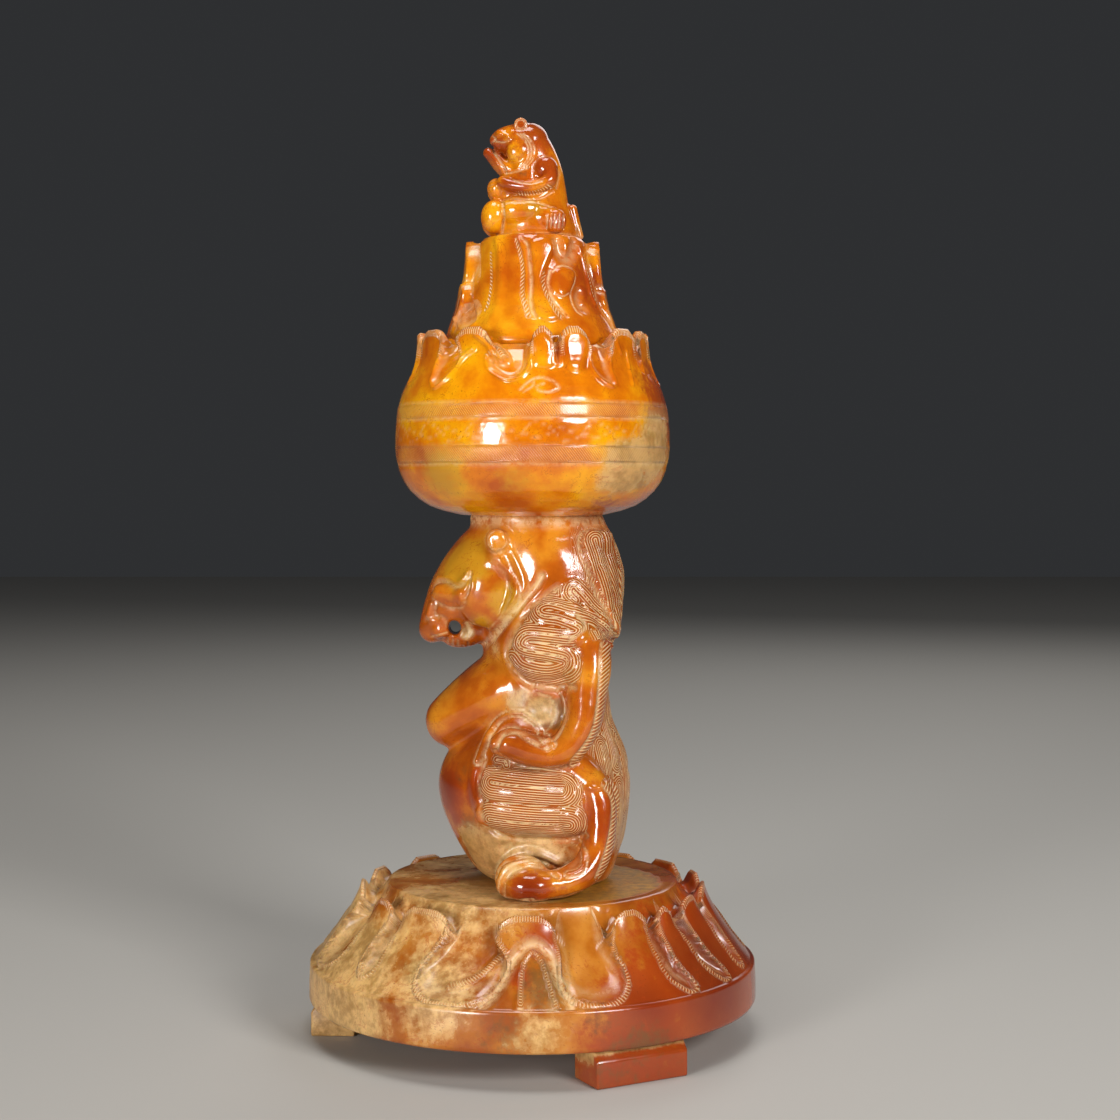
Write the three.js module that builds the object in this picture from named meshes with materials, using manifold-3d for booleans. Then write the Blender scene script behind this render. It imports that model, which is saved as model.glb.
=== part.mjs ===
// Hill censer in russet nephrite: a mountain-carved base on three block feet, a squatting bear that
// carries a round bowl on its head, and a mountain lid with a small seated bear on top.
// Millimetres, +Z up. The origin is on the ground under the middle of the base, and the bear faces -X.
import * as THREE from 'three';
import { mergeVertices } from 'three/addons/utils/BufferGeometryUtils.js';
import Module from 'manifold-3d';

const wasm = await Module();
wasm.setup();

// Driving dimensions of the base
const RIM_RADIUS = 72;
const FOOT_HEIGHT = 10.9;
const RIM_TOP = 23.4;
const PLATEAU_HEIGHT = 48;
const PLATEAU_RADIUS = 46.5;
const FOOT_AZIMUTHS = [27.7, 147.7, 267.7];
const FOOT_WIDTH = 31;
const FOOT_DEPTH = 14;
const FOOT_FACE_RADIUS = 70;
const FOOT_STEP_HEIGHT = 7.8;
const FOOT_STEP_DEPTH = 3;

// Gap between stones that only rest on each other
const GAP = 0.3;

// Driving dimensions of the bear and the bowl
const SOLE_HEIGHT = PLATEAU_HEIGHT + GAP;
const NECK_RADIUS = 21.5;
const BOWL_BOTTOM = 165.5;
const BOWL_RADIUS = 44.5;
const CROWN_START = 203;
const VALLEY_HEIGHT = 208.6;
const CROWN_TIP = 224.6;
const BOWL_LEDGE_HEIGHT = 219.3;
const LEDGE_RADIUS = 30.4;
const MOUTH_RADIUS = 25.5;
const BOWL_FLOOR = 172;

// Driving dimensions of the lid
const LID_BOTTOM = BOWL_LEDGE_HEIGHT + GAP;
const LID_FOOT_RADIUS = 28.5;
const LID_TOP = 255.4;
const LID_TOP_RADIUS = 17.4;
const LID_TONGUE_RADIUS = MOUTH_RADIUS - 0.8;
const LID_TONGUE_DEPTH = 4.5;
const LID_HOLLOW_HEIGHT = 243;

// Raised fur locks on the near side of the bear: x, y, z, half length, half thickness and lean in degrees
const BEAR_LOCKS = [
  [22, -12, 148, 12, 5.6, 72], [16, -17, 137, 11, 6, 52], [8, -20.5, 133, 11.5, 7, 24],
  [4.5, -21.6, 127, 12.5, 7, 10], [4, -20.5, 120.5, 12.5, 6.6, 5],
  [-2.5, -23, 81.8, 18, 9.6, 2], [-0.5, -23.4, 71.8, 17, 8.4, -4],
];
const LOCK_DEPTH = 8.6;

// Mountain lobes as [azimuth, half width] in degrees: 0 faces -Y and +90 faces +X
const BASE_LOBES = [
  [-164, 9], [-138, 9], [-112, 8], [-88, 8], [-57, 6.5], [-36.5, 9], [-1.5, 9.7],
  [31, 7.5], [46, 5.4], [63, 6], [83, 9], [104, 7], [125, 9], [146, 8], [170, 8],
];
const BOWL_LOBES = [
  [-167, 11], [-140, 10], [-112, 10], [-86, 9], [-60, 9.5], [-33, 8.5], [5, 6.2], [19.7, 7.6],
  [49.5, 9.5], [70, 7.5], [92, 9], [115, 10], [140, 9], [165, 10],
];
// Lid lobes also give the height of the tip and how far it stands out
const LID_LOBES = [
  [-178, 26, 254, 4.6], [-138, 13, 240, 3.4], [-92, 22, 254, 4.6], [-76, 9, 240, 3.6],
  [8, 12, 253, 1.3], [29, 13, 245.5, 1.7], [92, 20, 254, 4.4], [70, 9, 239, 2.6], [136, 14, 242, 3.6],
];

const RADIAN = Math.PI / 180;
const { lerp } = THREE.MathUtils;

// A point at a radius and an azimuth in degrees, as on a turntable seen from -Y
function polar(radius, azimuth, z) {
  const angle = azimuth * RADIAN;
  return new THREE.Vector3(radius * Math.sin(angle), -radius * Math.cos(angle), z);
}

// Height or radius read off a short profile of [position, value] pairs
function along(profile, position) {
  const last = profile.length - 1;
  for (let i = 0; i < last; i++) {
    const [from, a] = profile[i];
    const [to, b] = profile[i + 1];
    if (position <= to || i === last - 1) {
      return THREE.MathUtils.mapLinear(position, from, to, a, b);
    }
  }
  return profile[last][1];
}

// A closed lathe whose vertices are moved: place(column, row) gives the new point of each
function movedLathe(columns, rows, place) {
  const profile = [];
  for (let row = 0; row < rows; row++) {
    profile.push(new THREE.Vector2(row === 0 || row === rows - 1 ? 0 : 1, row));
  }
  const geometry = new THREE.LatheGeometry(profile, columns);
  const position = geometry.attributes.position;
  for (let i = 0; i < position.count; i++) {
    const point = place(Math.floor(i / rows) % columns, i % rows);
    position.setXYZ(i, point.x, point.y, point.z);
  }
  return geometry;
}

function signedVolume(vertices, triangles) {
  const corner = (i) => new THREE.Vector3().fromArray(vertices, triangles[i] * 3);
  let volume = 0;
  for (let i = 0; i < triangles.length; i += 3) {
    volume += corner(i).dot(corner(i + 1).cross(corner(i + 2))) / 6;
  }
  return volume;
}

// A geometry as a closed solid with its faces pointing out
function solid(geometry) {
  const bare = geometry.clone();
  bare.deleteAttribute('normal');
  bare.deleteAttribute('uv');
  const merged = mergeVertices(bare, 1e-3);
  const vertices = Float32Array.from(merged.attributes.position.array);
  const index = merged.index.array;
  const triangles = [];
  for (let i = 0; i < index.length; i += 3) {
    const [a, b, c] = [index[i], index[i + 1], index[i + 2]];
    if (a !== b && b !== c && c !== a) {
      triangles.push(a, b, c);
    }
  }
  if (signedVolume(vertices, triangles) < 0) {
    triangles.reverse();
  }
  const triVerts = Uint32Array.from(triangles);
  return new wasm.Manifold(new wasm.Mesh({ numProp: 3, vertProperties: vertices, triVerts }));
}

function joined(solids) {
  return solids.reduce((whole, piece) => whole.add(piece));
}

function mirrored(geometry) {
  return geometry.clone().scale(1, -1, 1);
}

// A geometry and its mirror image across the bear's middle plane
function bothSides(geometry) {
  return [solid(geometry), solid(mirrored(geometry))];
}

// An ellipsoid, leaned by an angle in degrees in the X-Z plane
function ball([x, y, z], [rx, ry, rz], lean = 0, around = 9, rings = 6) {
  const geometry = new THREE.SphereGeometry(1, around, rings);
  geometry.rotateX(Math.PI / 2);
  geometry.scale(rx, ry, rz);
  geometry.rotateY(lean * RADIAN);
  geometry.translate(x, y, z);
  return geometry;
}

// A rounded limb: a lathe bent along a curve. Each stop is [x, y, z, half depth, half width]
function limb(stops, sides = 8, steps = 8, round = 0.16) {
  const route = new THREE.CatmullRomCurve3(stops.map(([x, y, z]) => new THREE.Vector3(x, y, z)));
  const sizes = new THREE.CatmullRomCurve3(stops.map((stop) => new THREE.Vector3(stop[3], stop[4], 0)));
  const across = new THREE.Vector3(0, 1, 0);
  return movedLathe(sides, steps + 1, (column, row) => {
    const t = (1 - Math.cos((Math.PI * row) / steps)) / 2;
    const toEnd = Math.min(1, Math.min(t, 1 - t) / round);
    const taper = Math.sqrt(1 - (1 - toEnd) ** 2);
    const forward = route.getTangent(t);
    const side = across.clone().addScaledVector(forward, -across.dot(forward)).normalize();
    const up = forward.clone().cross(side);
    const size = sizes.getPoint(t);
    const angle = (2 * Math.PI * column) / sides;
    return route
      .getPoint(t)
      .addScaledVector(up, size.x * taper * Math.cos(angle))
      .addScaledVector(side, size.y * taper * Math.sin(angle));
  });
}

// A body of oval sections stacked along Z, each [z, front x, back x, half width]
function stacked(sections, columns = 18) {
  const last = sections.length - 1;
  return movedLathe(columns, sections.length + 2, (column, row) => {
    const [z, front, back, half] = sections[Math.min(Math.max(row - 1, 0), last)];
    const middle = (front + back) / 2;
    if (row === 0 || row === last + 2) {
      return new THREE.Vector3(middle, 0, z);
    }
    const angle = (2 * Math.PI * column) / columns;
    return new THREE.Vector3(middle + ((back - front) / 2) * Math.cos(angle), half * Math.sin(angle), z);
  });
}

// Columns of a ring of lobes: dense at the lobes' edges, one in each valley
function lobeColumns(lobes) {
  const shares = [-1.08, -0.82, 0, 0.82, 1.08];
  const columns = lobes.flatMap(([azimuth, half]) => shares.map((share) => azimuth + share * half));
  lobes.forEach(([azimuth, half], i) => {
    const next = lobes[(i + 1) % lobes.length];
    const turn = i === lobes.length - 1 ? 360 : 0;
    columns.push((azimuth + half * 1.1 + next[0] + turn - next[1] * 1.1) / 2);
  });
  return columns.sort((a, b) => a - b);
}

// 1 on a lobe, 0 in a valley, rounded at the lobe's top corners
function lobeShare(lobes, azimuth) {
  let share = 0;
  for (const [centre, half] of lobes) {
    const away = Math.abs(THREE.MathUtils.euclideanModulo(azimuth - centre + 180, 360) - 180) / half;
    share = Math.max(share, away < 1 ? (1 - away ** 4) ** 0.6 : 0);
  }
  return share;
}

// The base: rim band, flank of mountain lobes with scooped valleys, flat top and feet
function makeBase() {
  const columns = lobeColumns(BASE_LOBES);
  const lobeTop = PLATEAU_HEIGHT - 0.6;
  const valleyBottom = RIM_TOP + 2.4;
  const flankHeight = lobeTop - RIM_TOP;
  const lobeRadius = (z) => 55.5 + 15 * Math.max(0, (lobeTop - z) / flankHeight) ** 1.35;
  const valleyRadius = (z) => {
    return PLATEAU_RADIUS + 22 * Math.max(0, (PLATEAU_HEIGHT - z) / (flankHeight + 0.6)) ** 1.3;
  };
  const mountain = movedLathe(columns.length, 11, (column, row) => {
    const azimuth = columns[column];
    const share = lobeShare(BASE_LOBES, azimuth);
    const line = lerp(valleyBottom, lobeTop, share);
    const halfway = (RIM_TOP + 1 + line) / 2;
    const notch = line + 0.9 - 2.2 * share;
    const above = (notch + PLATEAU_HEIGHT) / 2;
    const rows = [
      [0, FOOT_HEIGHT],
      [RIM_RADIUS - 1.2, FOOT_HEIGHT],
      [RIM_RADIUS, FOOT_HEIGHT + 1.2],
      [RIM_RADIUS - 0.4, RIM_TOP],
      [lobeRadius(RIM_TOP + 1), RIM_TOP + 1],
      [lobeRadius(halfway), halfway],
      [lobeRadius(line), line],
      [Math.min(valleyRadius(notch) + 2.5 * share, lobeRadius(line) - 1.6), notch],
      [valleyRadius(above), above],
      [PLATEAU_RADIUS, PLATEAU_HEIGHT],
      [0, PLATEAU_HEIGHT],
    ];
    return polar(rows[row][0], azimuth, rows[row][1]);
  });
  const pieces = [solid(mountain)];
  for (const azimuth of FOOT_AZIMUTHS) {
    const outline = new THREE.Shape();
    const inner = FOOT_FACE_RADIUS - FOOT_DEPTH;
    outline.moveTo(inner, 0);
    outline.lineTo(FOOT_FACE_RADIUS, 0);
    outline.lineTo(FOOT_FACE_RADIUS, FOOT_STEP_HEIGHT);
    outline.lineTo(FOOT_FACE_RADIUS - FOOT_STEP_DEPTH, FOOT_HEIGHT + 0.6);
    outline.lineTo(inner, FOOT_HEIGHT + 0.6);
    const block = new THREE.ExtrudeGeometry(outline, { depth: FOOT_WIDTH, bevelEnabled: false });
    block.translate(0, 0, -FOOT_WIDTH / 2);
    block.rotateX(Math.PI / 2);
    block.rotateZ((azimuth - 90) * RADIAN);
    pieces.push(solid(block));
  }
  return joined(pieces);
}

// The bowl's round body and its crown of mountain lobes around the mouth
function makeBowl() {
  const body = [
    [0, BOWL_BOTTOM - 4], [NECK_RADIUS - 0.3, BOWL_BOTTOM - 4], [NECK_RADIUS, BOWL_BOTTOM],
    [29, 167.2], [36.5, 170.8], [41.6, 176.4], [44, 183.6], [BOWL_RADIUS, 190], [43.8, 200],
    [42.3, 205.6], [37, 208.5], [0, 208.5],
  ];
  const round = new THREE.LatheGeometry(body.map(([r, z]) => new THREE.Vector2(r, z)), 30);
  round.rotateX(Math.PI / 2);

  const columns = lobeColumns(BOWL_LOBES);
  const lobeFace = [[203, 42.9], [206, 42], [211, 39.2], [216, 37.7], [223, 36.9]];
  const valleyFace = [[203, 42.2], [208, 39.8], [214, 36.4], [217.2, 33.6], [BOWL_LEDGE_HEIGHT, 30.6]];
  const crown = movedLathe(columns.length, 8, (column, row) => {
    const azimuth = columns[column];
    const share = lobeShare(BOWL_LOBES, azimuth);
    const line = lerp(VALLEY_HEIGHT, CROWN_TIP - 1.6, share);
    const halfway = (CROWN_START + 0.6 + line) / 2;
    const tip = [lerp(along(valleyFace, line + 1), 34.6, share), lerp(line + 1, CROWN_TIP, share)];
    const rows = [
      [0, CROWN_START],
      [BOWL_RADIUS - 2.1, CROWN_START],
      [along(lobeFace, halfway), halfway],
      [along(lobeFace, line), line],
      tip,
      [lerp(34.6, 32.6, share), lerp(216.4, 221.6, share)],
      [LEDGE_RADIUS, BOWL_LEDGE_HEIGHT],
      [0, BOWL_LEDGE_HEIGHT],
    ];
    return polar(rows[row][0], azimuth, rows[row][1]);
  });

  const inside = [
    [0, BOWL_FLOOR], [24, BOWL_FLOOR], [33, 176], [38.6, 184], [39.4, 190], [38.4, 199],
    [34, 207], [MOUTH_RADIUS, 212], [MOUTH_RADIUS, 230], [0, 230],
  ];
  const hollow = new THREE.LatheGeometry(inside.map(([r, z]) => new THREE.Vector2(r, z)), 18);
  hollow.rotateX(Math.PI / 2);
  return { outside: solid(round).add(solid(crown)), inside: solid(hollow) };
}

// The squatting bear: every paired form is given for its -Y side and mirrored
function makeBear() {
  const torso = stacked([
    [SOLE_HEIGHT, -13, 24.5, 20], [52, -18.5, 26.5, 23], [58, -22.8, 28.4, 25.5],
    [65.4, -26.8, 30, 27.5], [73.2, -29.7, 31, 28.5], [81, -30.4, 31.2, 28], [88.8, -27.6, 30, 27],
    [95, -22, 27.5, 26], [101, -19, 25.4, 25], [111, -17, 24.6, 25.5], [122, -16, 25.6, 27],
    [133, -16, 28.8, 27], [146, -17, 29.4, 25], [156, -19, 26.8, 22.5], [163, -20, 24.2, 21.5],
    [BOWL_BOTTOM + 1, -20.4, 22.6, 21.5],
  ]);
  const head = limb([
    [8, 0, 166, 14, 18], [-2, 0, 157.5, 15.5, 20.5], [-11, 0, 149, 16, 21], [-19.5, 0, 141, 13.8, 18],
    [-26.5, 0, 134.5, 10, 12.5], [-32, 0, 130, 6.6, 9], [-37, 0, 127, 5.5, 7],
  ], 10, 9, 0.12);
  const jaw = ball([-22, 0, 128], [8.4, 8.5, 5.4], -20);
  const chest = limb([
    [4, 0, 114, 13, 24], [-8, 0, 110, 13, 23], [-18, 0, 105, 11.5, 19], [-27, 0, 99.5, 9.6, 15],
    [-34.5, 0, 96, 9, 12],
  ], 10, 7, 0.3);
  const pairs = [
    ball([-11, -14.5, 143], [11.5, 9.5, 12.5], 15),
    ball([-27.4, -7.8, 141], [4.5, 5, 3.4], 30, 8, 5),
    ...BEAR_LOCKS.map(([x, y, z, length, thickness, lean]) => {
      return ball([x, y, z], [length, LOCK_DEPTH, thickness], lean, 8, 4);
    }),
    limb([
      [10, -19, 129, 9, 8], [21, -21, 126, 6, 7], [19.7, -23.5, 119.7, 6.2, 7.4],
      [17.2, -24.5, 111.9, 6.5, 7.4], [16, -25.5, 102.6, 5.8, 7.2], [12.3, -26.5, 94.8, 5.4, 7.2],
      [6.4, -27, 91.3, 4.6, 7.2], [-0.8, -27.5, 92.6, 5, 7], [-7, -27, 95, 4.8, 6], [-11.6, -26.5, 96, 3, 5],
    ], 7, 13, 0.1),
    limb([
      [13, -20, 88, 7, 7], [18.6, -23, 83.4, 5.6, 7], [21, -24.5, 76, 4.6, 7], [21.2, -25.5, 69, 4.5, 7],
      [20.3, -27, 62.2, 4.6, 6.8], [16.5, -30, 55.7, 5, 6.4], [10.5, -33.5, 53, 4.6, 6],
      [3, -36, 53.4, 5.6, 5.4], [-4.5, -36.5, 53, 6, 5.2], [-9.6, -36, 50.8, 4.6, 4.4],
    ], 7, 13, 0.1),
    ball([-3, -31.5, 53.6], [10.5, 6, 7.4]),
  ];
  const ear = new THREE.CylinderGeometry(3.7, 3.7, 7, 12);
  ear.translate(-11.2, -17.5, 158.3);
  pairs.push(ear);

  const mouth = new THREE.CylinderGeometry(1.9, 1.9, 40, 10);
  mouth.scale(1, 1, 1.25);
  mouth.translate(-24.4, 0, 130.6);
  const armpit = ball([1.5, -30.5, 106.4], [8.6, 7.5, 6.2], 15);
  const ground = new THREE.BoxGeometry(200, 200, 20);
  ground.translate(0, 0, SOLE_HEIGHT - 10);

  const forms = [torso, head, jaw, chest].map(solid);
  return joined([...forms, ...pairs.flatMap(bothSides)])
    .subtract(solid(mouth))
    .subtract(joined(bothSides(armpit)))
    .subtract(solid(ground));
}

// The small bear that sits on the lid with its head raised
function makeSmallBear() {
  const seatHeight = LID_TOP - 1;
  const body = stacked([
    [seatHeight, -11, 13.4, 9.5], [258.5, -12, 13.8, 11], [263, -11.6, 12.8, 11], [267, -10, 11.6, 9.6],
    [272, -8.6, 10.8, 8.6], [278.7, -8, 9.6, 8.4], [285.5, -7, 6.6, 7.6], [290.5, -6, 2.6, 5],
    [292.4, -4, 0.6, 2.6],
  ], 10);
  const head = limb([
    [-1, 0, 286, 7, 7.6], [-6, 0, 285.4, 7, 7.6], [-11, 0, 284.6, 5.4, 5.4], [-14.2, 0, 284.6, 3.6, 3.8],
  ], 8, 6, 0.2);
  const jaw = limb([
    [-6, 0, 279.6, 4, 5.6], [-11, 0, 280, 3, 3.6], [-15.6, 0, 283.4, 1.9, 2.6],
  ], 6, 4, 0.2);
  const pairs = [
    ball([-5.2, -5.4, 283.6], [4.2, 2.8, 4.2], 0, 8, 5),
    ball([4.6, -7.4, 277.6], [4.2, 3.4, 4.6], 0, 7, 5),
    limb([
      [5.4, -8, 277, 3, 2.6], [6.4, -9.2, 273, 2.6, 2.6], [0, -10, 270, 2.5, 2.5], [-7, -8.6, 271, 2.3, 2.4],
      [-12.8, -4.4, 271.8, 3, 3.4],
    ], 6, 7, 0.12),
    ball([-1.5, -7.4, 262.4], [10.5, 4.8, 6], 0, 9, 6),
    ball([-13, -5.6, 260.8], [3.6, 4.2, 6], 10, 7, 5),
    ball([7.4, -10.6, 260.6], [3.4, 2.2, 3.6], 0, 7, 4),
  ];
  const ear = new THREE.CylinderGeometry(2.2, 2.2, 3.4, 8);
  ear.translate(-3.8, -4.6, 292.2);
  pairs.push(ear);
  const tail = limb([[12.5, 0, 264.6, 1.6, 2.2], [14.8, 0, 260, 1.6, 2.2], [16.2, 0, 255.6, 1.4, 2.2]], 7, 5);
  return joined([...[body, head, jaw, tail].map(solid), ...pairs.flatMap(bothSides)]);
}

// The lid: a steep mountain cone with a rounded foot, hollow below, and a tongue that centres it
function makeLid() {
  const heights = [LID_BOTTOM, LID_BOTTOM + 0.9, 222.4, 226, 232, 238.6, 240.8, 247, 253.4, LID_TOP];
  const core = [
    [LID_BOTTOM, LID_FOOT_RADIUS - 1], [220.6, LID_FOOT_RADIUS], [222.6, LID_FOOT_RADIUS - 0.2],
    [226, 26.6], [232, 23], [240, 20.2], [248, 18.4], [LID_TOP, LID_TOP_RADIUS],
  ];
  const columns = 32;
  const cone = movedLathe(columns, heights.length + 2, (column, row) => {
    if (row === 0) {
      return new THREE.Vector3(0, 0, LID_BOTTOM);
    }
    if (row === heights.length + 1) {
      return new THREE.Vector3(0, 0, LID_TOP + 0.8);
    }
    const z = heights[row - 1];
    const azimuth = (360 * column) / columns;
    let out = 0;
    for (const [centre, half, tip, reach] of LID_LOBES) {
      const away = Math.abs(THREE.MathUtils.euclideanModulo(azimuth - centre + 180, 360) - 180) / half;
      const rise = THREE.MathUtils.clamp((z - 224) / (tip - 224), 0, 1);
      const shape = away < 1 && z < tip ? (1 - away ** 2) ** 0.5 : 0;
      out = Math.max(out, reach * shape * rise ** 0.8);
    }
    return polar(along(core, z) + out, azimuth, z);
  });
  const tongueBottom = LID_BOTTOM - LID_TONGUE_DEPTH;
  const tongue = new THREE.CylinderGeometry(LID_TONGUE_RADIUS, LID_TONGUE_RADIUS, LID_TONGUE_DEPTH + 1, 24);
  tongue.rotateX(Math.PI / 2);
  tongue.translate(0, 0, tongueBottom + (LID_TONGUE_DEPTH + 1) / 2);
  const inside = [
    [0, tongueBottom - 1], [20.5, tongueBottom - 1], [20, 222], [15, 234], [8, 241.5], [0, LID_HOLLOW_HEIGHT],
  ];
  const hollow = new THREE.LatheGeometry(inside.map(([r, z]) => new THREE.Vector2(r, z)), 18);
  hollow.rotateX(Math.PI / 2);
  return joined([solid(cone), solid(tongue), makeSmallBear()]).subtract(solid(hollow));
}

// A named mesh of polished stone
function stone(name, body, colour, roughness) {
  const { vertProperties, triVerts, numProp } = body.getMesh();
  const vertices = new Float32Array((vertProperties.length / numProp) * 3);
  for (let i = 0; i < vertices.length; i++) {
    vertices[i] = vertProperties[Math.floor(i / 3) * numProp + (i % 3)];
  }
  const geometry = new THREE.BufferGeometry();
  geometry.setAttribute('position', new THREE.BufferAttribute(vertices, 3));
  geometry.setIndex(new THREE.BufferAttribute(Uint32Array.from(triVerts), 1));
  geometry.computeVertexNormals();
  const mesh = new THREE.Mesh(
    geometry,
    new THREE.MeshStandardMaterial({ color: colour, roughness, metalness: 0, flatShading: true }),
  );
  mesh.name = name;
  return mesh;
}

const bowl = makeBowl();
const bearAndBowl = joined([makeBear(), bowl.outside]).subtract(bowl.inside);

const censer = new THREE.Group();
censer.add(stone('base', makeBase(), 0xa8682c, 0.3));
censer.add(stone('bear_and_bowl', bearAndBowl, 0xc8741c, 0.22));
censer.add(stone('lid', makeLid(), 0xd98218, 0.2));

export default censer;
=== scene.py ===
# %% [markdown]
# # A hill censer in jade, carried by a bear
#
# The real work is three stones. A round base is cut like a ring of mountains. A squatting bear stands
# on it, one stone with the round bowl on its head. A pointed lid with a small bear closes the bowl.
# Jade isn't chiselled: it is ground away with wheels and wet sand, so every form is round and soft, and
# the fine lines are thin wheel cuts that fill with pale dust. The cells below follow that order: first
# the rough forms, then the relief, then the thin lines, then the polish.
#
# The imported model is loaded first, because every piece here keeps its size and its place.

import math

import bmesh
import bpy
import numpy as np
from mathutils import Matrix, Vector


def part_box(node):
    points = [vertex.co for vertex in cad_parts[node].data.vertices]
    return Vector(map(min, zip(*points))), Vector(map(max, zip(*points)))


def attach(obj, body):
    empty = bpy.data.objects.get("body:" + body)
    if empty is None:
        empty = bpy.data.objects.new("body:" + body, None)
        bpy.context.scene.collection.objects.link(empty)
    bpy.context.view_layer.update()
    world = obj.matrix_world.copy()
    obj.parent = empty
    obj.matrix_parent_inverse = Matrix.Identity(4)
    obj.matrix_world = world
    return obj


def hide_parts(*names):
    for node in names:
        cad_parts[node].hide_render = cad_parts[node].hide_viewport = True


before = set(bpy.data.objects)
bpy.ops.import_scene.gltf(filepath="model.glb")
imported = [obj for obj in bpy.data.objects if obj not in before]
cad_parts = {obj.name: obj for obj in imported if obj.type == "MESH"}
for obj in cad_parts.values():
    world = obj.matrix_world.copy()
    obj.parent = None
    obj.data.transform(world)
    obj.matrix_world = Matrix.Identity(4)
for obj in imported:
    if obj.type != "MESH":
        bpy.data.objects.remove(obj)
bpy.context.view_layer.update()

# %% [markdown]
# ## Sizes that drive the rest
#
# A carver starts from a few measures: how wide the base is, where its top lies, how wide the bowl is.
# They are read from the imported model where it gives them, and the others are written here in
# millimetres. Blender works in metres, so lengths are turned at the very end, when a mesh is stored.

# %% Named sizes in millimetres
MM = 0.001
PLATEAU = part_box("base")[1][2] / MM
SOLE, CROWN_TIP = (corner[2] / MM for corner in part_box("bear_and_bowl"))
TONGUE_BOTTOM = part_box("lid")[0][2] / MM

RIM_RADIUS = 71.95
RIM_BOTTOM = 10.9
RIM_TOP = 23.4
PLATEAU_RADIUS = 46.5
FOOT_AZIMUTHS = (27.7, 147.7, 267.7)
FOOT_WIDTH = 31.0
FOOT_FACE = 70.0

BOWL_BOTTOM = 165.5
BOWL_RADIUS = 44.5
CROWN_START = 203.0
LEDGE_HEIGHT = 219.3
LEDGE_RADIUS = 30.4
MOUTH_RADIUS = 25.5

LID_BOTTOM = 219.6
LID_TOP = 255.4
print("plateau at", round(PLATEAU, 2), "mm, crown tips at", round(CROWN_TIP, 2), "mm")

# %% [markdown]
# ## Camera
#
# The work was photographed level, from a little above the bear's head. A level camera with a small
# downward shift keeps upright edges upright, as a product photographer does with a shift lens. The
# distance and the focal length come from how round the rims look in the photograph.

# %% Camera
FRAME_PIXELS = 1120
FOCAL_PIXELS = 1993
HORIZON_PIXEL = 480
AXIS_PIXEL = 532.5
CAMERA_DISTANCE = 647 * MM
CAMERA_HEIGHT = 177.1 * MM
SENSOR_WIDTH = 36.0

camera_data = bpy.data.cameras.new("studio_camera")
camera_data.sensor_width = SENSOR_WIDTH
camera_data.lens = SENSOR_WIDTH * FOCAL_PIXELS / FRAME_PIXELS
camera_data.shift_x = (FRAME_PIXELS / 2 - AXIS_PIXEL) / FRAME_PIXELS
camera_data.shift_y = (HORIZON_PIXEL - FRAME_PIXELS / 2) / FRAME_PIXELS
camera = bpy.data.objects.new("studio_camera", camera_data)
camera.location = (0, -CAMERA_DISTANCE, CAMERA_HEIGHT)
camera.rotation_euler = (math.radians(90), 0, 0)
bpy.context.scene.collection.objects.link(camera)
bpy.context.scene.camera = camera
bpy.context.scene.view_settings.view_transform = "Standard"
print("lens", round(camera_data.lens, 1), "mm")

# %% [markdown]
# ## Tools of the workshop
#
# Four small tools do most of the work. `smooth_path` draws one smooth curve through a few stops.
# `nearest_on` says how far each point is from such a curve, and how far along it. `inside` says
# which points lie in a closed outline. `ease` is a soft step from 0 to 1, which gives cuts their
# round shoulders.

# %% Curves, distances and soft steps
def ease(x):
    x = np.clip(x, 0, 1)
    return x * x * (3 - 2 * x)


def smooth_path(stops, steps=8, closed=False):
    """Points of a Catmull-Rom curve through the stops"""
    stops = np.array(stops, dtype=float)
    if closed:
        padded = np.vstack([stops[-1], stops, stops[:2]])
    else:
        padded = np.vstack([2 * stops[0] - stops[1], stops, 2 * stops[-1] - stops[-2]])
    t = np.linspace(0, 1, steps, endpoint=False)[:, None]
    spans = []
    for a, b, c, d in zip(padded, padded[1:], padded[2:], padded[3:]):
        spans.append(
            0.5 * (2 * b + (c - a) * t + (2 * a - 5 * b + 4 * c - d) * t**2 + (3 * b - a - 3 * c + d) * t**3)
        )
    last = spans[0][:1] if closed else stops[-1:]
    return np.vstack(spans + [last])


def nearest_on(path, points):
    """Distance to the path, length along it, and its side: +1 left of the way it runs"""
    distance = np.full(len(points), np.inf)
    along = np.zeros(len(points))
    side = np.zeros(len(points))
    run = 0.0
    for a, b in zip(path, path[1:]):
        step = b - a
        length = math.hypot(*step)
        if length < 1e-9:
            continue
        from_a = points - a
        share = np.clip(from_a @ step / length**2, 0, 1)
        away = from_a - share[:, None] * step
        here = np.hypot(away[:, 0], away[:, 1])
        closer = here < distance
        distance[closer] = here[closer]
        along[closer] = run + share[closer] * length
        side[closer] = np.sign(step[0] * from_a[closer, 1] - step[1] * from_a[closer, 0])
        run += length
    return distance, along, side


def inside(outline, points):
    """True for the points within a closed outline"""
    within = np.zeros(len(points), dtype=bool)
    for (ax, ay), (bx, by) in zip(outline, np.roll(outline, -1, axis=0)):
        if ay == by:
            continue
        crosses = (points[:, 1] > ay) != (points[:, 1] > by)
        edge_x = ax + (points[:, 1] - ay) * (bx - ax) / (by - ay)
        within ^= crosses & (points[:, 0] < edge_x)
    return within


print("points of a curve through three stops", len(smooth_path([(0, 0), (1, 1), (2, 0)])))

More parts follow.
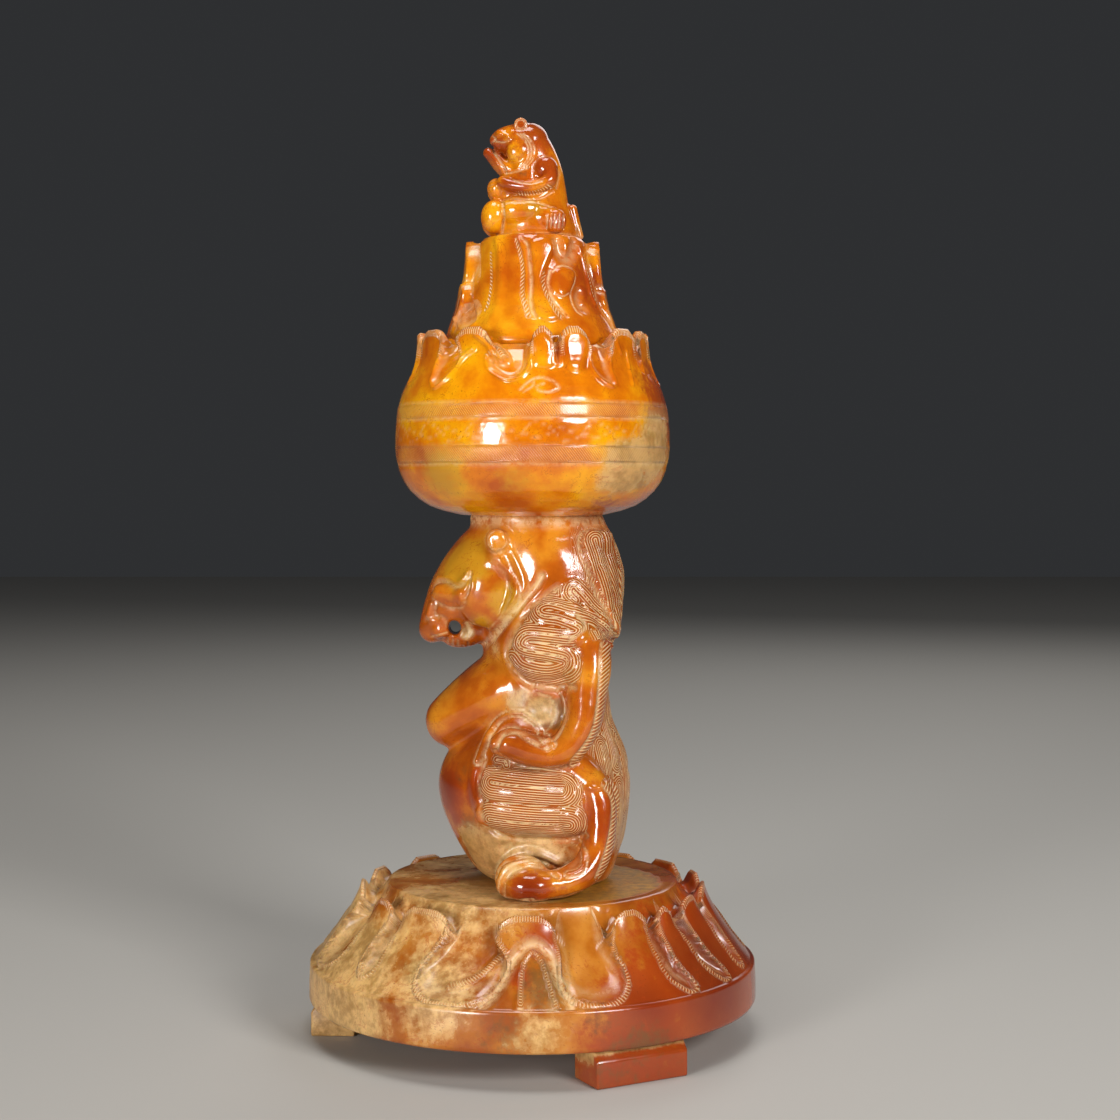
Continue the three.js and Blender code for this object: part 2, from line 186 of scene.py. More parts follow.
# %% [markdown]
# ## One carving, remembered point by point
#
# A `Carving` is laid over a surface that is unrolled flat. It collects, for each point of the mesh,
# how far the wheel goes in or leaves the stone proud (`lift`), where dust stays (`dust`), and the
# thin wheel lines. A thin line is finer than the mesh, so it is kept as a number that grows by one
# from line to line (`count`) and a mask that says where the lines run (`lined`). The polish later
# turns every whole number into a cut. The points are moved later, all at once.
#
# `freedom` says how far the wheel can reach each point: a cut fades out where it falls to 0. The
# strokes are those of a real bench: a groove, a ridge left standing, a band between two cuts, a
# step, a pillow, a plate, short hatching across an edge, and nested strands of combed fur.

# %% The carving tool
class Carving:
    def __init__(self, flat, freedom=None):
        size = len(flat)
        self.flat = flat
        self.freedom = np.ones(size) if freedom is None else freedom
        self.lift = np.zeros(size)
        self.dust = np.zeros(size)
        self.count = np.zeros(size)
        self.lined = np.zeros(size)

    def near(self, path, reach):
        low = path.min(axis=0) - reach
        high = path.max(axis=0) + reach
        close = np.all((self.flat > low) & (self.flat < high), axis=1) & (self.freedom > 0.02)
        index = np.flatnonzero(close)
        return (index, *nearest_on(path, self.flat[index]))

    def leave_dust(self, index, amount):
        self.dust[index] = np.maximum(self.dust[index], amount * self.freedom[index])

    def groove(self, stops, width, depth, dust=0.8, closed=False):
        """A round-bottomed cut along the stops"""
        index, away, _, _ = self.near(smooth_path(stops, closed=closed), width)
        shape = ease(1 - away / width)
        self.lift[index] -= depth * shape * self.freedom[index]
        self.leave_dust(index, dust * shape)

    def ridge(self, stops, width, height, closed=False):
        """A line of stone left standing"""
        index, away, _, _ = self.near(smooth_path(stops, closed=closed), width)
        self.lift[index] += height * ease(1 - away / width) * self.freedom[index]

    def band(self, stops, width, height, cut, depth, dust=0.8, closed=False):
        """A flat strip between two thin cuts"""
        index, away, _, _ = self.near(smooth_path(stops, closed=closed), width / 2 + cut)
        edge = ease(1 - np.abs(away - width / 2) / cut)
        top = ease((width / 2 - away) / cut)
        self.lift[index] += (height * top - depth * edge) * self.freedom[index]
        self.leave_dust(index, dust * edge)

    def shelf(self, stops, height, reach, edge=0.7, dust=0.6):
        """A step: proud on the left of the stops, fading out over the reach, with a dusty foot"""
        index, away, _, side = self.near(smooth_path(stops), reach)
        signed = away * side
        rise = ease(0.5 + signed / (2 * edge)) * ease((reach - away) / (0.7 * reach))
        self.lift[index] += height * rise * self.freedom[index]
        self.leave_dust(index, dust * ease(1 - np.abs(signed + edge) / edge))

    def pillow(self, stops, height, reach):
        """A long soft swelling over the stops"""
        index, away, _, _ = self.near(smooth_path(stops), reach)
        self.lift[index] += height * np.sqrt(np.clip(1 - (away / reach) ** 2, 0, 1)) * self.freedom[index]

    def plate(self, outline, height, soft):
        """An area left standing with a round shoulder, or a scoop if the height is negative"""
        path = smooth_path(outline, closed=True)
        index, away, _, _ = self.near(path, soft)
        signed = np.where(inside(path[:-1], self.flat[index]), away, -away)
        self.lift[index] += height * np.sin(
            np.clip((signed + 0.25) / soft, 0, 1) * math.pi / 2
        ) * self.freedom[index]

    def hatch(self, stops, pitch, length, lean=0.0, side=0, start=0.15, closed=False):
        """Short thin cuts across an edge: on one side of it, or on both with side 0"""
        index, away, along, which = self.near(smooth_path(stops, closed=closed), length)
        if side:
            keep = which == side
            index, away, along, which = index[keep], away[keep], along[keep], which[keep]
        strong = ease((length - away) / 0.4) * (ease(away / start) if side else 1)
        stronger = strong > self.lined[index]
        index, away, along, which, strong = (a[stronger] for a in (index, away, along, which, strong))
        self.count[index] = (along + lean * away * which) / pitch
        self.lined[index] = strong * self.freedom[index]

    def strands(self, spines, pitch, outline, soft=0.5, reach=None):
        """Nested lines round one or more spines, within an outline or a reach, as combed fur is cut"""
        outline = smooth_path(outline, closed=True)
        low, high = outline.min(axis=0), outline.max(axis=0)
        index = np.flatnonzero(np.all((self.flat > low) & (self.flat < high), axis=1) & (self.freedom > 0.02))
        index = index[inside(outline, self.flat[index])]
        if not len(index):
            return
        edge = nearest_on(outline, self.flat[index])[0]
        away = np.min([nearest_on(smooth_path(spine), self.flat[index])[0] for spine in spines], axis=0)
        strong = ease(edge / soft) * (ease((reach - away) / soft) if reach else 1)
        index, away, strong = index[strong > 0], away[strong > 0], strong[strong > 0]
        self.count[index] = away / pitch + 0.5
        self.lined[index] = strong * self.freedom[index]


# %% [markdown]
# ## From a mesh to a piece
#
# The lines, the dust and the stains are stored on the mesh as plain numbers per point. The polish
# reads them by name, so a pattern stays on the stone however the work is turned. `places` and `put`
# read and write all points at once, which is far quicker than one by one.

# %% Storing a finished piece
def store(mesh, name, values):
    layer = mesh.attributes.new(name, "FLOAT", "POINT")
    layer.data.foreach_set("value", np.asarray(values, dtype=np.float32))


def places(mesh):
    """The mesh's points in millimetres"""
    flat = np.empty(len(mesh.vertices) * 3, dtype=np.float32)
    mesh.vertices.foreach_get("co", flat)
    return flat.reshape(-1, 3).astype(float) / MM


def put(mesh, points):
    mesh.vertices.foreach_set("co", (points * MM).astype(np.float32).ravel())
    mesh.update()


def normals(mesh):
    flat = np.empty(len(mesh.vertices) * 3, dtype=np.float32)
    mesh.vertex_normals.foreach_get("vector", flat)
    return flat.reshape(-1, 3).astype(float)


def stain(points, spots):
    """How strongly a stain shows, from round spots: x, y, z, radius, strength"""
    amount = np.zeros(len(points))
    for x, y, z, radius, strength in spots:
        away = np.linalg.norm(points - (x, y, z), axis=1) / radius
        amount = np.maximum(amount, strength * np.exp(-(away**2)))
    return amount


def keep_marks(mesh, carving):
    store(mesh, "dust", carving.dust)
    store(mesh, "line_count", carving.count)
    store(mesh, "lined", carving.lined)


def keep_stains(mesh, **stains):
    """Stains by name. One that isn't given leaves the stone clean"""
    for name in ("unpolished", "olive", "russet", "crust", "brown"):
        store(mesh, name, stains.get(name, np.zeros(len(mesh.vertices))))


def as_piece(name, mesh, node):
    for polygon in mesh.polygons:
        polygon.use_smooth = True
    piece = bpy.data.objects.new(name, mesh)
    bpy.context.scene.collection.objects.link(piece)
    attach(piece, "root")
    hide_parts(node)
    triangles = sum(len(polygon.vertices) - 2 for polygon in mesh.polygons)
    print(name, "triangles", triangles)
    return piece


# %% [markdown]
# ## Turned skins
#
# The base, the bowl and the lid are all turned forms before they are carved. `turned_skin` rolls one
# flat grid into a closed skin of rings, and welds its seam and its two poles. Each ring keeps its
# number as its height for the moment, so the relief can ask for any point which ring it is on and at
# which angle it stands. `spaced` lays evenly spaced points on a profile of radius and height.

# %% Turned skins
def turned_skin(rings, columns):
    bm = bmesh.new()
    bmesh.ops.create_grid(bm, x_segments=columns, y_segments=rings - 1, size=1)
    for v in bm.verts:
        ring = round((v.co.y + 1) / 2 * (rings - 1))
        turn = math.pi * v.co.x
        reach = 0 if ring in (0, rings - 1) else 1
        v.co = (reach * math.sin(turn), -reach * math.cos(turn), ring)
    bmesh.ops.remove_doubles(bm, verts=bm.verts, dist=1e-4)
    bmesh.ops.recalc_face_normals(bm, faces=bm.faces)
    mesh = bpy.data.meshes.new("turned")
    bm.to_mesh(mesh)
    bm.free()
    raw = places(mesh) * MM
    ring = np.rint(raw[:, 2]).astype(int)
    azimuth = np.degrees(np.arctan2(raw[:, 0], -raw[:, 1]))
    return mesh, ring, azimuth


def spaced(profile, spacing):
    """Points along a profile, evenly spaced in millimetres, its corners kept"""
    points = [np.array(profile[0], dtype=float)]
    for a, b in zip(profile, profile[1:]):
        a, b = np.array(a, dtype=float), np.array(b, dtype=float)
        pieces = max(1, round(math.hypot(*(b - a)) / spacing))
        for i in range(1, pieces + 1):
            points.append(a + (b - a) * i / pieces)
    return np.array(points)


def ring_points(radius, azimuth, height):
    angle = np.radians(azimuth)
    return np.stack([radius * np.sin(angle), -radius * np.cos(angle), height], axis=1)


def unrolled(azimuth, height, radius):
    return np.stack([np.radians(azimuth) * radius, height], axis=1)


def round_turn(outlines):
    """Each outline as it lies on the unrolled stone, again on the far side where it crosses the seam"""
    for outline in outlines:
        for turn in (-360, 0, 360):
            moved = [(azimuth + turn, z) for azimuth, z in outline]
            if -190 < moved[0][0] < 190:
                yield moved


# %% [markdown]
# ## Valleys between mountains
#
# The mountains are not stuck on: they are what is left when valleys are ground into a cone. Each
# valley is a closed outline on the unrolled stone, given as azimuth in degrees and height in
# millimetres. Azimuth 0 faces the camera. The valleys that the camera sees follow the real ones.
# Those behind are plainer, and one function makes them from where the mountains stand.
#
# `standing` turns the outlines into one number for each point: 1 on a mountain, 0 deep in a valley.
# The wall drops at once at the mountain's edge and then runs out in a hollow, as a round wheel leaves it.
#
# The tops of the mountains are arches, so `arched` lowers their corners, most of all at the edge.

# %% Valleys
def arched(edge, share, reach, drop):
    """How much lower a mountain's top is at its corners than in its middle"""
    corner = 1 - np.clip(edge / reach, 0, 1)
    return drop * (1 - np.sqrt(1 - corner**2)) * share


def valley_between(left, right, bottom, top):
    """A U-shaped valley: left and right are its sides as azimuths"""
    middle, half = (left + right) / 2, (right - left) / 2
    sides = [
        (-1.0, 1.0), (-0.96, 0.6), (-1.0, 0.28), (-0.7, 0.06), (0, 0), (0.7, 0.06), (1.0, 0.28), (0.96, 0.6),
        (1.0, 1.0),
    ]
    return [(middle + u * half, bottom + v * (top - bottom)) for u, v in sides]


def hidden_valleys(lobes, bottom, top, skip_from, skip_to):
    """Valleys between neighbouring lobes, apart from those that start in the part drawn one by one"""
    valleys = []
    for (centre, half), (next_centre, next_half) in zip(lobes, lobes[1:] + lobes[:1]):
        turn = 360 if next_centre < centre else 0
        left, right = centre + half, next_centre + turn - next_half
        if skip_from <= left <= skip_to:
            continue
        valleys.append(valley_between(left, right, bottom, top))
    return valleys


def standing(flat, valleys, radius, scale, origin, scoop):
    """1 on the mountains, 0 in the valleys, and the distance to the nearest valley's edge"""
    share = np.ones(len(flat))
    edge = np.full(len(flat), 99.0)
    for valley in valleys:
        for turn in (-360, 0, 360):
            stops = [(math.radians(a + turn) * radius, (z - origin) * scale) for a, z in valley]
            if min(s for s, _ in stops) > math.pi * radius or max(s for s, _ in stops) < -math.pi * radius:
                continue
            path = smooth_path(stops, closed=True)
            low, high = path.min(axis=0) - scoop, path.max(axis=0) + scoop
            index = np.flatnonzero(np.all((flat > low) & (flat < high), axis=1))
            if not len(index):
                continue
            away = nearest_on(path, flat[index])[0]
            within = inside(path[:-1], flat[index])
            signed = np.where(within, -away, away)
            wall = np.clip(1 + (signed - 0.3) / scoop, 0, 1)
            share[index] = np.minimum(share[index], np.where(signed > 0.3, 1, 0.86 * wall**2.2))
            edge[index] = np.where(np.abs(signed) < np.abs(edge[index]), signed, edge[index])
    return share, edge


# %% [markdown]
# ## Base
#
# The base is a thick disc with an upright rim band, a crisp line at the top of the band, and a flank
# that climbs in mountains to a flat top. Fifteen mountains stand round it. Their edges are a raised
# lip with short cuts across it, like grass on a ridge.
#
# Two profiles are drawn with the same number of rings: one up a mountain, one up a valley. Every
# point of the flank then lies somewhere between the two.

# %% Base: mountains and valleys, as azimuths
BASE_LOBES = [
    (-164, 9), (-138, 9), (-112, 8), (-88, 8), (-57, 6.5), (-36.5, 9), (-1.5, 9.7),
    (31, 7.5), (46, 5.4), (63, 6), (83, 9), (104, 7), (125, 9), (146, 8), (170, 8),
]
BASE_TIP = PLATEAU - 0.6
ABOVE = PLATEAU + 4
BASE_VALLEYS = [
    [(-26.9, ABOVE), (-26, 46), (-26.6, 42), (-28.5, 36.5), (-31, 31.5), (-30, 27), (-26, 24.8), (-20, 24.5),
     (-14.5, 25.5), (-10.5, 28.5), (-7.6, 34), (-9, 38), (-11.2, 42), (-11.2, 47), (-11.5, ABOVE)],
    [(7.6, ABOVE), (7.4, 46), (8, 41), (8.2, 34), (8.9, 28.5), (12, 25.5), (17.5, 24.6), (22, 25.8),
     (24.5, 29), (24.5, 32.5), (23.2, 36.5), (23.3, 40.5), (24.5, 45), (24.5, ABOVE)],
    [(39.5, ABOVE), (38.6, 46), (37.6, 40), (37.7, 34), (39, 28.5), (43.3, 24.6), (44.8, 25.7), (42.8, 30),
     (41.6, 36), (41.6, 42), (42.6, 47), (43, ABOVE)],
    [(50.6, ABOVE), (50.8, 44), (51.5, 38), (53.5, 29.5), (58.3, 24.6), (60, 26), (57.5, 31), (55.6, 38),
     (55.6, 45), (56, ABOVE)],
    [(-50, ABOVE), (-50.2, 44), (-52, 37), (-53, 31), (-50.5, 27.5), (-47.6, 29), (-46.4, 36), (-45.8, 44),
     (-45.8, ABOVE)],
    [(-80, ABOVE), (-79.5, 42), (-82, 34), (-80, 27), (-73.5, 25), (-66.5, 28), (-63.5, 35), (-63.5, 43),
     (-64, ABOVE)],
]
BASE_VALLEYS += hidden_valleys(BASE_LOBES, 25.5, ABOVE, -82, 52)
print("mountains on the base", len(BASE_LOBES), "valleys", len(BASE_VALLEYS))

# %% [markdown]
# The profiles run from the middle of the underside over the rim band and the flank to the middle of the
# top. A mountain's profile stands well out up to its tip, and a valley's runs further in, to the edge of
# the plateau. The flank is unrolled at its mean radius, and its height is stretched, because the slope is
# longer than it is high.

# %% Base: the two profiles
UNROLL_RADIUS = 63.0
UNROLL_SCALE = 1.2
FLANK_RINGS = 74
BASE_COLUMNS = 560
TIP_RADIUS = 55.5
VALLEY_REACH = 22
VALLEY_CURVE = 1.3


def lobe_radius(z):
    down = np.clip(BASE_TIP - z, 0, None) / (BASE_TIP - RIM_TOP)
    return TIP_RADIUS + 15 * down**1.35


def valley_radius(z):
    down = np.clip(PLATEAU - z, 0, None) / (PLATEAU - RIM_TOP)
    return PLATEAU_RADIUS + VALLEY_REACH * down**VALLEY_CURVE


under = spaced([(0, RIM_BOTTOM), (52, RIM_BOTTOM), (70.8, RIM_BOTTOM)], 6)
rim = spaced(
    [(71.6, 11.15), (RIM_RADIUS, 11.9), (RIM_RADIUS, 17), (71.7, 22.8), (71.3, RIM_TOP), (70.5, 23.5)], 0.7,
)
climb = np.linspace(0, 1, FLANK_RINGS)
lobe_z = 23.7 + (BASE_TIP - 23.7) * climb
valley_z = 24.4 + (PLATEAU - 24.4) * climb
lobe_side = np.stack([lobe_radius(lobe_z), lobe_z], axis=1)
valley_side = np.stack([valley_radius(valley_z), valley_z], axis=1)
behind = spaced(
    [
        (54.9, BASE_TIP + 0.2), (53.9, 46.8), (52.4, 44.2), (50.6, 43.4), (48.6, 45.0),
        (PLATEAU_RADIUS, PLATEAU),
    ],
    0.8,
)
plateau = spaced([(PLATEAU_RADIUS - 1.5, PLATEAU), (0, PLATEAU)], 1.6)

lobe_rows = np.vstack([under, rim, lobe_side, behind, plateau])
valley_behind = np.tile((PLATEAU_RADIUS - 0.1, PLATEAU), (len(behind), 1))
valley_rows = np.vstack([under, rim, valley_side, valley_behind, plateau])
flank_start = len(under) + len(rim)
row_height = np.concatenate([
    np.full(flank_start, RIM_TOP), lobe_z, np.full(len(behind) + len(plateau), BASE_TIP),
])
print("base rings", len(lobe_rows))

# %% [markdown]
# ## Base: the mountains
#
# The skin is rolled, and each point moves between the two profiles as far as `standing` says. Near the
# top the mountains' corners are lowered into arches, but never below the bare cone behind them.

# %% Base: mountains and valleys
mesh, ring, azimuth = turned_skin(len(lobe_rows), BASE_COLUMNS)
flat = unrolled(azimuth, (row_height[ring] - RIM_TOP) * UNROLL_SCALE, UNROLL_RADIUS)
share, edge = standing(flat, BASE_VALLEYS, UNROLL_RADIUS, UNROLL_SCALE, RIM_TOP, 4.2)
profile_point = valley_rows[ring] + (lobe_rows[ring] - valley_rows[ring]) * share[:, None]
uncut = profile_point[:, 1]
CREST = 12
crest = ease((row_height[ring] - BASE_TIP + CREST) / CREST) * (lobe_rows[ring][:, 0] > 47)
down_the_cone = np.clip(profile_point[:, 0] - PLATEAU_RADIUS, 0, VALLEY_REACH) / VALLEY_REACH
bare_cone = PLATEAU - (PLATEAU - RIM_TOP) * down_the_cone ** (1 / VALLEY_CURVE)
lowered = uncut - (arched(edge, share, 7.0, 6.2) + 9 * (1 - share)) * crest
profile_point[:, 1] = np.where(crest > 0, np.maximum(lowered, np.minimum(uncut, bare_cone)), uncut)
print("stone between mountain and valley on", int(((share > 0) & (share < 1)).sum()), "points")

# %% [markdown]
# ## Base: lips, grass and a mountain within a mountain
#
# A lip runs along each edge, with short cuts across it. The mountain that faces the camera holds a
# second, smaller one, and a low ridge crosses the valley beside it.

# %% Base: fine relief
on_flank = (ring >= flank_start) & (ring < flank_start + FLANK_RINGS + 2)
base_carving = Carving(flat, on_flank.astype(float))
lip = ease(1 - np.abs(edge - 0.7) / 0.9)
base_carving.lift += 0.45 * lip * on_flank
base_carving.dust = np.maximum(0, ease(1 - np.abs(edge + 1.6) / 1.8)) * on_flank * 0.3


def on_base(stops):
    return [(math.radians(a) * UNROLL_RADIUS, (z - RIM_TOP) * UNROLL_SCALE) for a, z in stops]


INNER_MOUNTAIN = [(-3.4, 24), (-3.6, 30), (-2.6, 35.6), (0, 38.4), (2.8, 36), (4.6, 30.5), (6.4, 24)]
base_carving.groove(
    on_base([(-13, 23.9), (-9, 29), (-5.4, 36.2), (-0.4, 40.4), (4.6, 37.8), (6.9, 31.5), (9.6, 24.4)]), 3.2,
    1.9,
)
base_carving.ridge(on_base(INNER_MOUNTAIN), 1.1, 0.7)
base_carving.hatch(on_base(INNER_MOUNTAIN), 0.85, 1.4, side=-1)
SIDE_RIDGE = [(-22.5, 27), (-18.6, 28), (-14, 30.6), (-9.6, 35)]
base_carving.ridge(on_base(SIDE_RIDGE), 1.8, 1.2)
base_carving.hatch(on_base(SIDE_RIDGE), 0.85, 1.1, lean=0.5)
for outline in round_turn(BASE_VALLEYS):
    base_carving.hatch(on_base(outline), 0.85, 1.9, lean=0.25, side=-1, start=0.5)
# Grass marks also run over each mountain's top
for centre, half in BASE_LOBES:
    top = on_base([(centre - half, BASE_TIP - 0.4), (centre, BASE_TIP), (centre + half, BASE_TIP - 0.4)])
    base_carving.hatch(top, 0.9, 1.9, start=0.3)
base_carving.lined *= 0.62

# The flank slopes, so a cut goes in and down at once
outward, upward = 0.85, 0.5
put(mesh, ring_points(
    profile_point[:, 0] + base_carving.lift * outward, azimuth,
    profile_point[:, 1] + base_carving.lift * upward,
))
keep_marks(mesh, base_carving)
print("deepest cut", round(base_carving.lift.min(), 2), "mm")

# %% [markdown]
# ## Base: three block feet
#
# The feet are left standing when the underside is ground away. Each starts as its outline seen from the
# side: upright at the outer face, with a slope above it. The outline is extruded to the foot's width,
# turned to its place, and its edges are bevelled, since jade's edges are always a little worn.

# %% Base: feet
skin_size = len(mesh.vertices)
bm = bmesh.new()
bm.from_mesh(mesh)
for foot_azimuth in FOOT_AZIMUTHS:
    outline = [(56, 0), (FOOT_FACE, 0), (FOOT_FACE, 7.8), (67, 11.4), (56, 11.4)]
    corners = [bm.verts.new((0, r * MM, z * MM)) for r, z in outline]
    side_face = bm.faces.new(corners)
    pushed = bmesh.ops.extrude_face_region(bm, geom=[side_face])["geom"]
    far = [v for v in pushed if isinstance(v, bmesh.types.BMVert)]
    bmesh.ops.translate(bm, verts=far, vec=(FOOT_WIDTH * MM, 0, 0))
    foot = corners + far
    bmesh.ops.translate(bm, verts=foot, vec=(-FOOT_WIDTH / 2 * MM, 0, 0))
    foot_edges = list({e for v in foot for e in v.link_edges})
    turn = Matrix.Rotation(math.radians(foot_azimuth - 180), 4, "Z")
    bmesh.ops.transform(bm, matrix=turn, verts=foot)
    foot_faces = list({f for v in foot for f in v.link_faces})
    bmesh.ops.recalc_face_normals(bm, faces=foot_faces)
    bmesh.ops.bevel(
        bm, geom=foot_edges, offset=0.7 * MM, segments=3, profile=0.5, affect="EDGES", material=-1,
    )
bm.to_mesh(mesh)
bm.free()
print("points added for the feet", len(mesh.vertices) - skin_size)

# %% [markdown]
# ## Base: its stains
#
# Buried jade takes colour from the soil. Here the right side is red-brown and the left has a tan crust.
# The round seat under the bear was never polished, so it is a stain too: dull, olive and brown. The
# strengths are set in round spots, and the material breaks their edges up into ragged clouds.

# %% Base: stains
points = places(mesh)
seat = np.hypot(points[:, 0] - 8.5, points[:, 1] + 6) / 32.5
on_top = ease((points[:, 2] - PLATEAU + 0.6) / 0.4)
unpolished = ease((1.02 - seat) / 0.03) * on_top
base_russet = stain(points, [
    (60, -45, 30, 38, 1.0), (34, -64, 22, 22, 0.85), (72, 0, 30, 40, 1.0), (32, -62, 4, 26, 1.0),
    (6, -62, 44, 12, 0.8), (44, -30, 48, 16, 0.5), (60, 40, 30, 40, 0.8), (0, 70, 30, 26, 0.4),
    (-62, 10, 47, 9, 0.6), (-52, -28, 47, 7, 0.6), (-44, -44, 46, 8, 0.35), (-4, -64, 32, 6, 0.7),
])
foot_slope = 0.75 * ease((points[:, 2] - 8) / 1.5) * (np.arange(len(points)) >= skin_size)
base_crust = foot_slope + stain(points, [
    (-60, -40, 20, 34, 0.9), (-30, -62, 30, 24, 0.75), (-64, 8, 30, 40, 0.8), (-20, -30, 48, 34, 0.75),
    (-20, 20, 48, 34, 0.6), (0, -70, 18, 16, 0.55), (-40, 55, 25, 40, 0.6), (-66, 2, 4, 20, 1.5),
])
base_brown = 0.5 * unpolished + stain(points, [
    (-34, -60, 34, 11, 0.9), (4, -66, 30, 12, 0.7), (14, -66, 40, 14, 0.5), (-8, -70, 16, 14, 0.5),
    (20, -70, 20, 10, 0.5), (32, -64, 3, 18, 0.8), (0, 60, 30, 30, 0.5), (-70, 20, 20, 20, 0.4),
])
keep_stains(
    mesh, unpolished=unpolished, olive=0.62 * unpolished, russet=base_russet, crust=base_crust,
    brown=base_brown,
)
base = as_piece("mountain_base", mesh, "base")

# %% [markdown]
# ## Bowl
#
# The bowl was turned first and hollowed through its mouth, so it is an even round body. A crown of
# small mountains stands round the mouth, cut with the same valleys as the base. Behind the crown runs
# a flat ledge that the lid rests on. The wall and the hollow are there too, though the lid hides them.

# %% Bowl: lobes and valleys of the crown
BOWL_LOBES = [
    (-167, 11), (-140, 10), (-112, 10), (-86, 9), (-60, 9.5), (-33, 8.5), (5, 6.2), (19.7, 7.6),
    (49.5, 9.5), (70, 7.5), (92, 9), (115, 10), (140, 9), (165, 10),
]
CROWN_ABOVE = CROWN_TIP + 4
CROWN_TOP = CROWN_TIP - 1
BOWL_VALLEYS = [
    [(-49.8, CROWN_ABOVE), (-49, 222), (-49, 218), (-51, 212), (-50, 208.2), (-46.5, 206.2), (-42, 208.5),
     (-36.5, 213.6), (-38, 218), (-40, 222), (-40.5, CROWN_ABOVE)],
    [(-21.5, CROWN_ABOVE), (-20.5, 221.5), (-16, 218.4), (-12.6, 215.6), (-12.4, 213.6), (-15.5, 213.8),
     (-19, 215.6), (-21.3, 214.4), (-18.6, 210.8), (-10.5, 208.2), (-4.5, 209.8), (-2, 213.6), (-1.6, 219),
     (-1.6, CROWN_ABOVE)],
    [(10.3, CROWN_ABOVE), (10.4, 222), (10.7, 217), (11.2, 213.2), (12.4, 213.4), (12.5, 217), (12.8, 222),
     (13.2, CROWN_ABOVE)],
    [(27.3, CROWN_ABOVE), (28, 222), (28.8, 217), (28, 213), (30.5, 209), (35.7, 206.4), (38, 207.6),
     (37.4, 211), (38.4, 215), (40, 219), (41.5, CROWN_ABOVE)],
    [(59.6, CROWN_ABOVE), (59.6, 222), (59, 216), (60, 212), (62.4, 211), (63.6, 215), (63.2, 222),
     (63, CROWN_ABOVE)],
]
BOWL_VALLEYS += hidden_valleys(BOWL_LOBES, 208, CROWN_ABOVE, -53, 60)
print("mountains on the crown", len(BOWL_LOBES), "scoops", len(BOWL_VALLEYS))

# %% [markdown]
# Only the crown needs two profiles. Up a mountain the wall climbs steeply to a tip and drops behind it to
# the ledge that carries the lid. In a scoop it slopes in to that ledge. Both share the belly below and the
# hollow within.

# %% Bowl: the two profiles
BOWL_UNROLL = 40.0
CROWN_RINGS = 56
BOWL_COLUMNS = 500

body = spaced([
    (0, 163), (18.4, 163), (18.6, BOWL_BOTTOM), (23.4, 165.9), (29, 167.2), (33.4, 168.8), (36.8, 171),
    (39.6, 173.6), (41.7, 176.6), (43.2, 180), (44.1, 184), (BOWL_RADIUS, 188), (44.4, 192), (44.2, 196),
    (43.7, 200), (42.9, CROWN_START),
], 1.0)
crown_climb = np.linspace(0.012, 1, CROWN_RINGS)
face_z = CROWN_START + (CROWN_TOP - CROWN_START) * crown_climb
FACE = [
    (203, 42.9), (206, 41.9), (208.5, 40.7), (211, 39.4), (213.5, 38.5), (216, 37.9), (219, 37.6),
    (221, 37.5), (224, 37.4),
]
face_r = np.interp(face_z, *zip(*FACE))
scoop_z = np.interp(crown_climb, [0, 0.25, 0.55, 0.8, 1], [CROWN_START, 208.2, 213.4, 217, LEDGE_HEIGHT])
SCOOP = [(203, 42.4), (208, 39.8), (211, 38), (214, 36), (217.2, 33.2), (LEDGE_HEIGHT, 30.8)]
scoop_r = np.interp(scoop_z, *zip(*SCOOP))
back = spaced(
    [
        (36.6, CROWN_TIP - 0.15), (35.2, CROWN_TIP - 0.3), (33.6, 222.4), (32.4, 220.6),
        (LEDGE_RADIUS, LEDGE_HEIGHT),
    ],
    0.6,
)
back_low = np.stack([np.linspace(30.7, LEDGE_RADIUS, len(back)), np.full(len(back), LEDGE_HEIGHT)], axis=1)
hollow = spaced([
    (MOUTH_RADIUS + 0.5, LEDGE_HEIGHT), (MOUTH_RADIUS, LEDGE_HEIGHT - 0.5), (MOUTH_RADIUS, 212),
    (34, 207), (38.4, 199), (39.4, 190), (38.6, 184), (33, 176), (24, 172), (0, 172),
], 3.0)

peak_rows = np.vstack([body, np.stack([face_r, face_z], axis=1), back, hollow])
scoop_rows = np.vstack([body, np.stack([scoop_r, scoop_z], axis=1), back_low, hollow])
crown_start = len(body)
crown_end = crown_start + CROWN_RINGS
bowl_height = np.concatenate([body[:, 1], face_z, np.full(len(back) + len(hollow), CROWN_TOP)])
print("bowl rings", len(peak_rows))

# %% [markdown]
# The crown's mountains stand where the scoops leave them. Their tops are lowered at the corners, so that
# each one ends in an arch, and a thin lip follows every edge.

# %% Bowl: the crown is cut
mesh, ring, azimuth = turned_skin(len(peak_rows), BOWL_COLUMNS)
flat = unrolled(azimuth, bowl_height[ring], BOWL_UNROLL)
share, edge = standing(flat, BOWL_VALLEYS, BOWL_UNROLL, 1.0, 0.0, 2.6)
profile_point = scoop_rows[ring] + (peak_rows[ring] - scoop_rows[ring]) * share[:, None]
crest = ease((bowl_height[ring] - CROWN_TIP + 7) / 6) * (peak_rows[ring][:, 0] > 33)
profile_point[:, 1] -= arched(edge, share, 5.0, 4.6) * crest

on_wall = ring < crown_end + 2
on_crown = (ring >= crown_start) & on_wall
bowl_carving = Carving(flat, on_wall.astype(float))
bowl_carving.lift += 0.35 * ease(1 - np.abs(edge - 0.55) / 0.7) * on_crown
bowl_carving.dust = ease(1 - np.abs(edge + 1.0) / 1.2) * on_crown * 0.3


def on_bowl(stops):
    return [(math.radians(a) * BOWL_UNROLL, z) for a, z in stops]


print("points on the crown", int(on_crown.sum()))

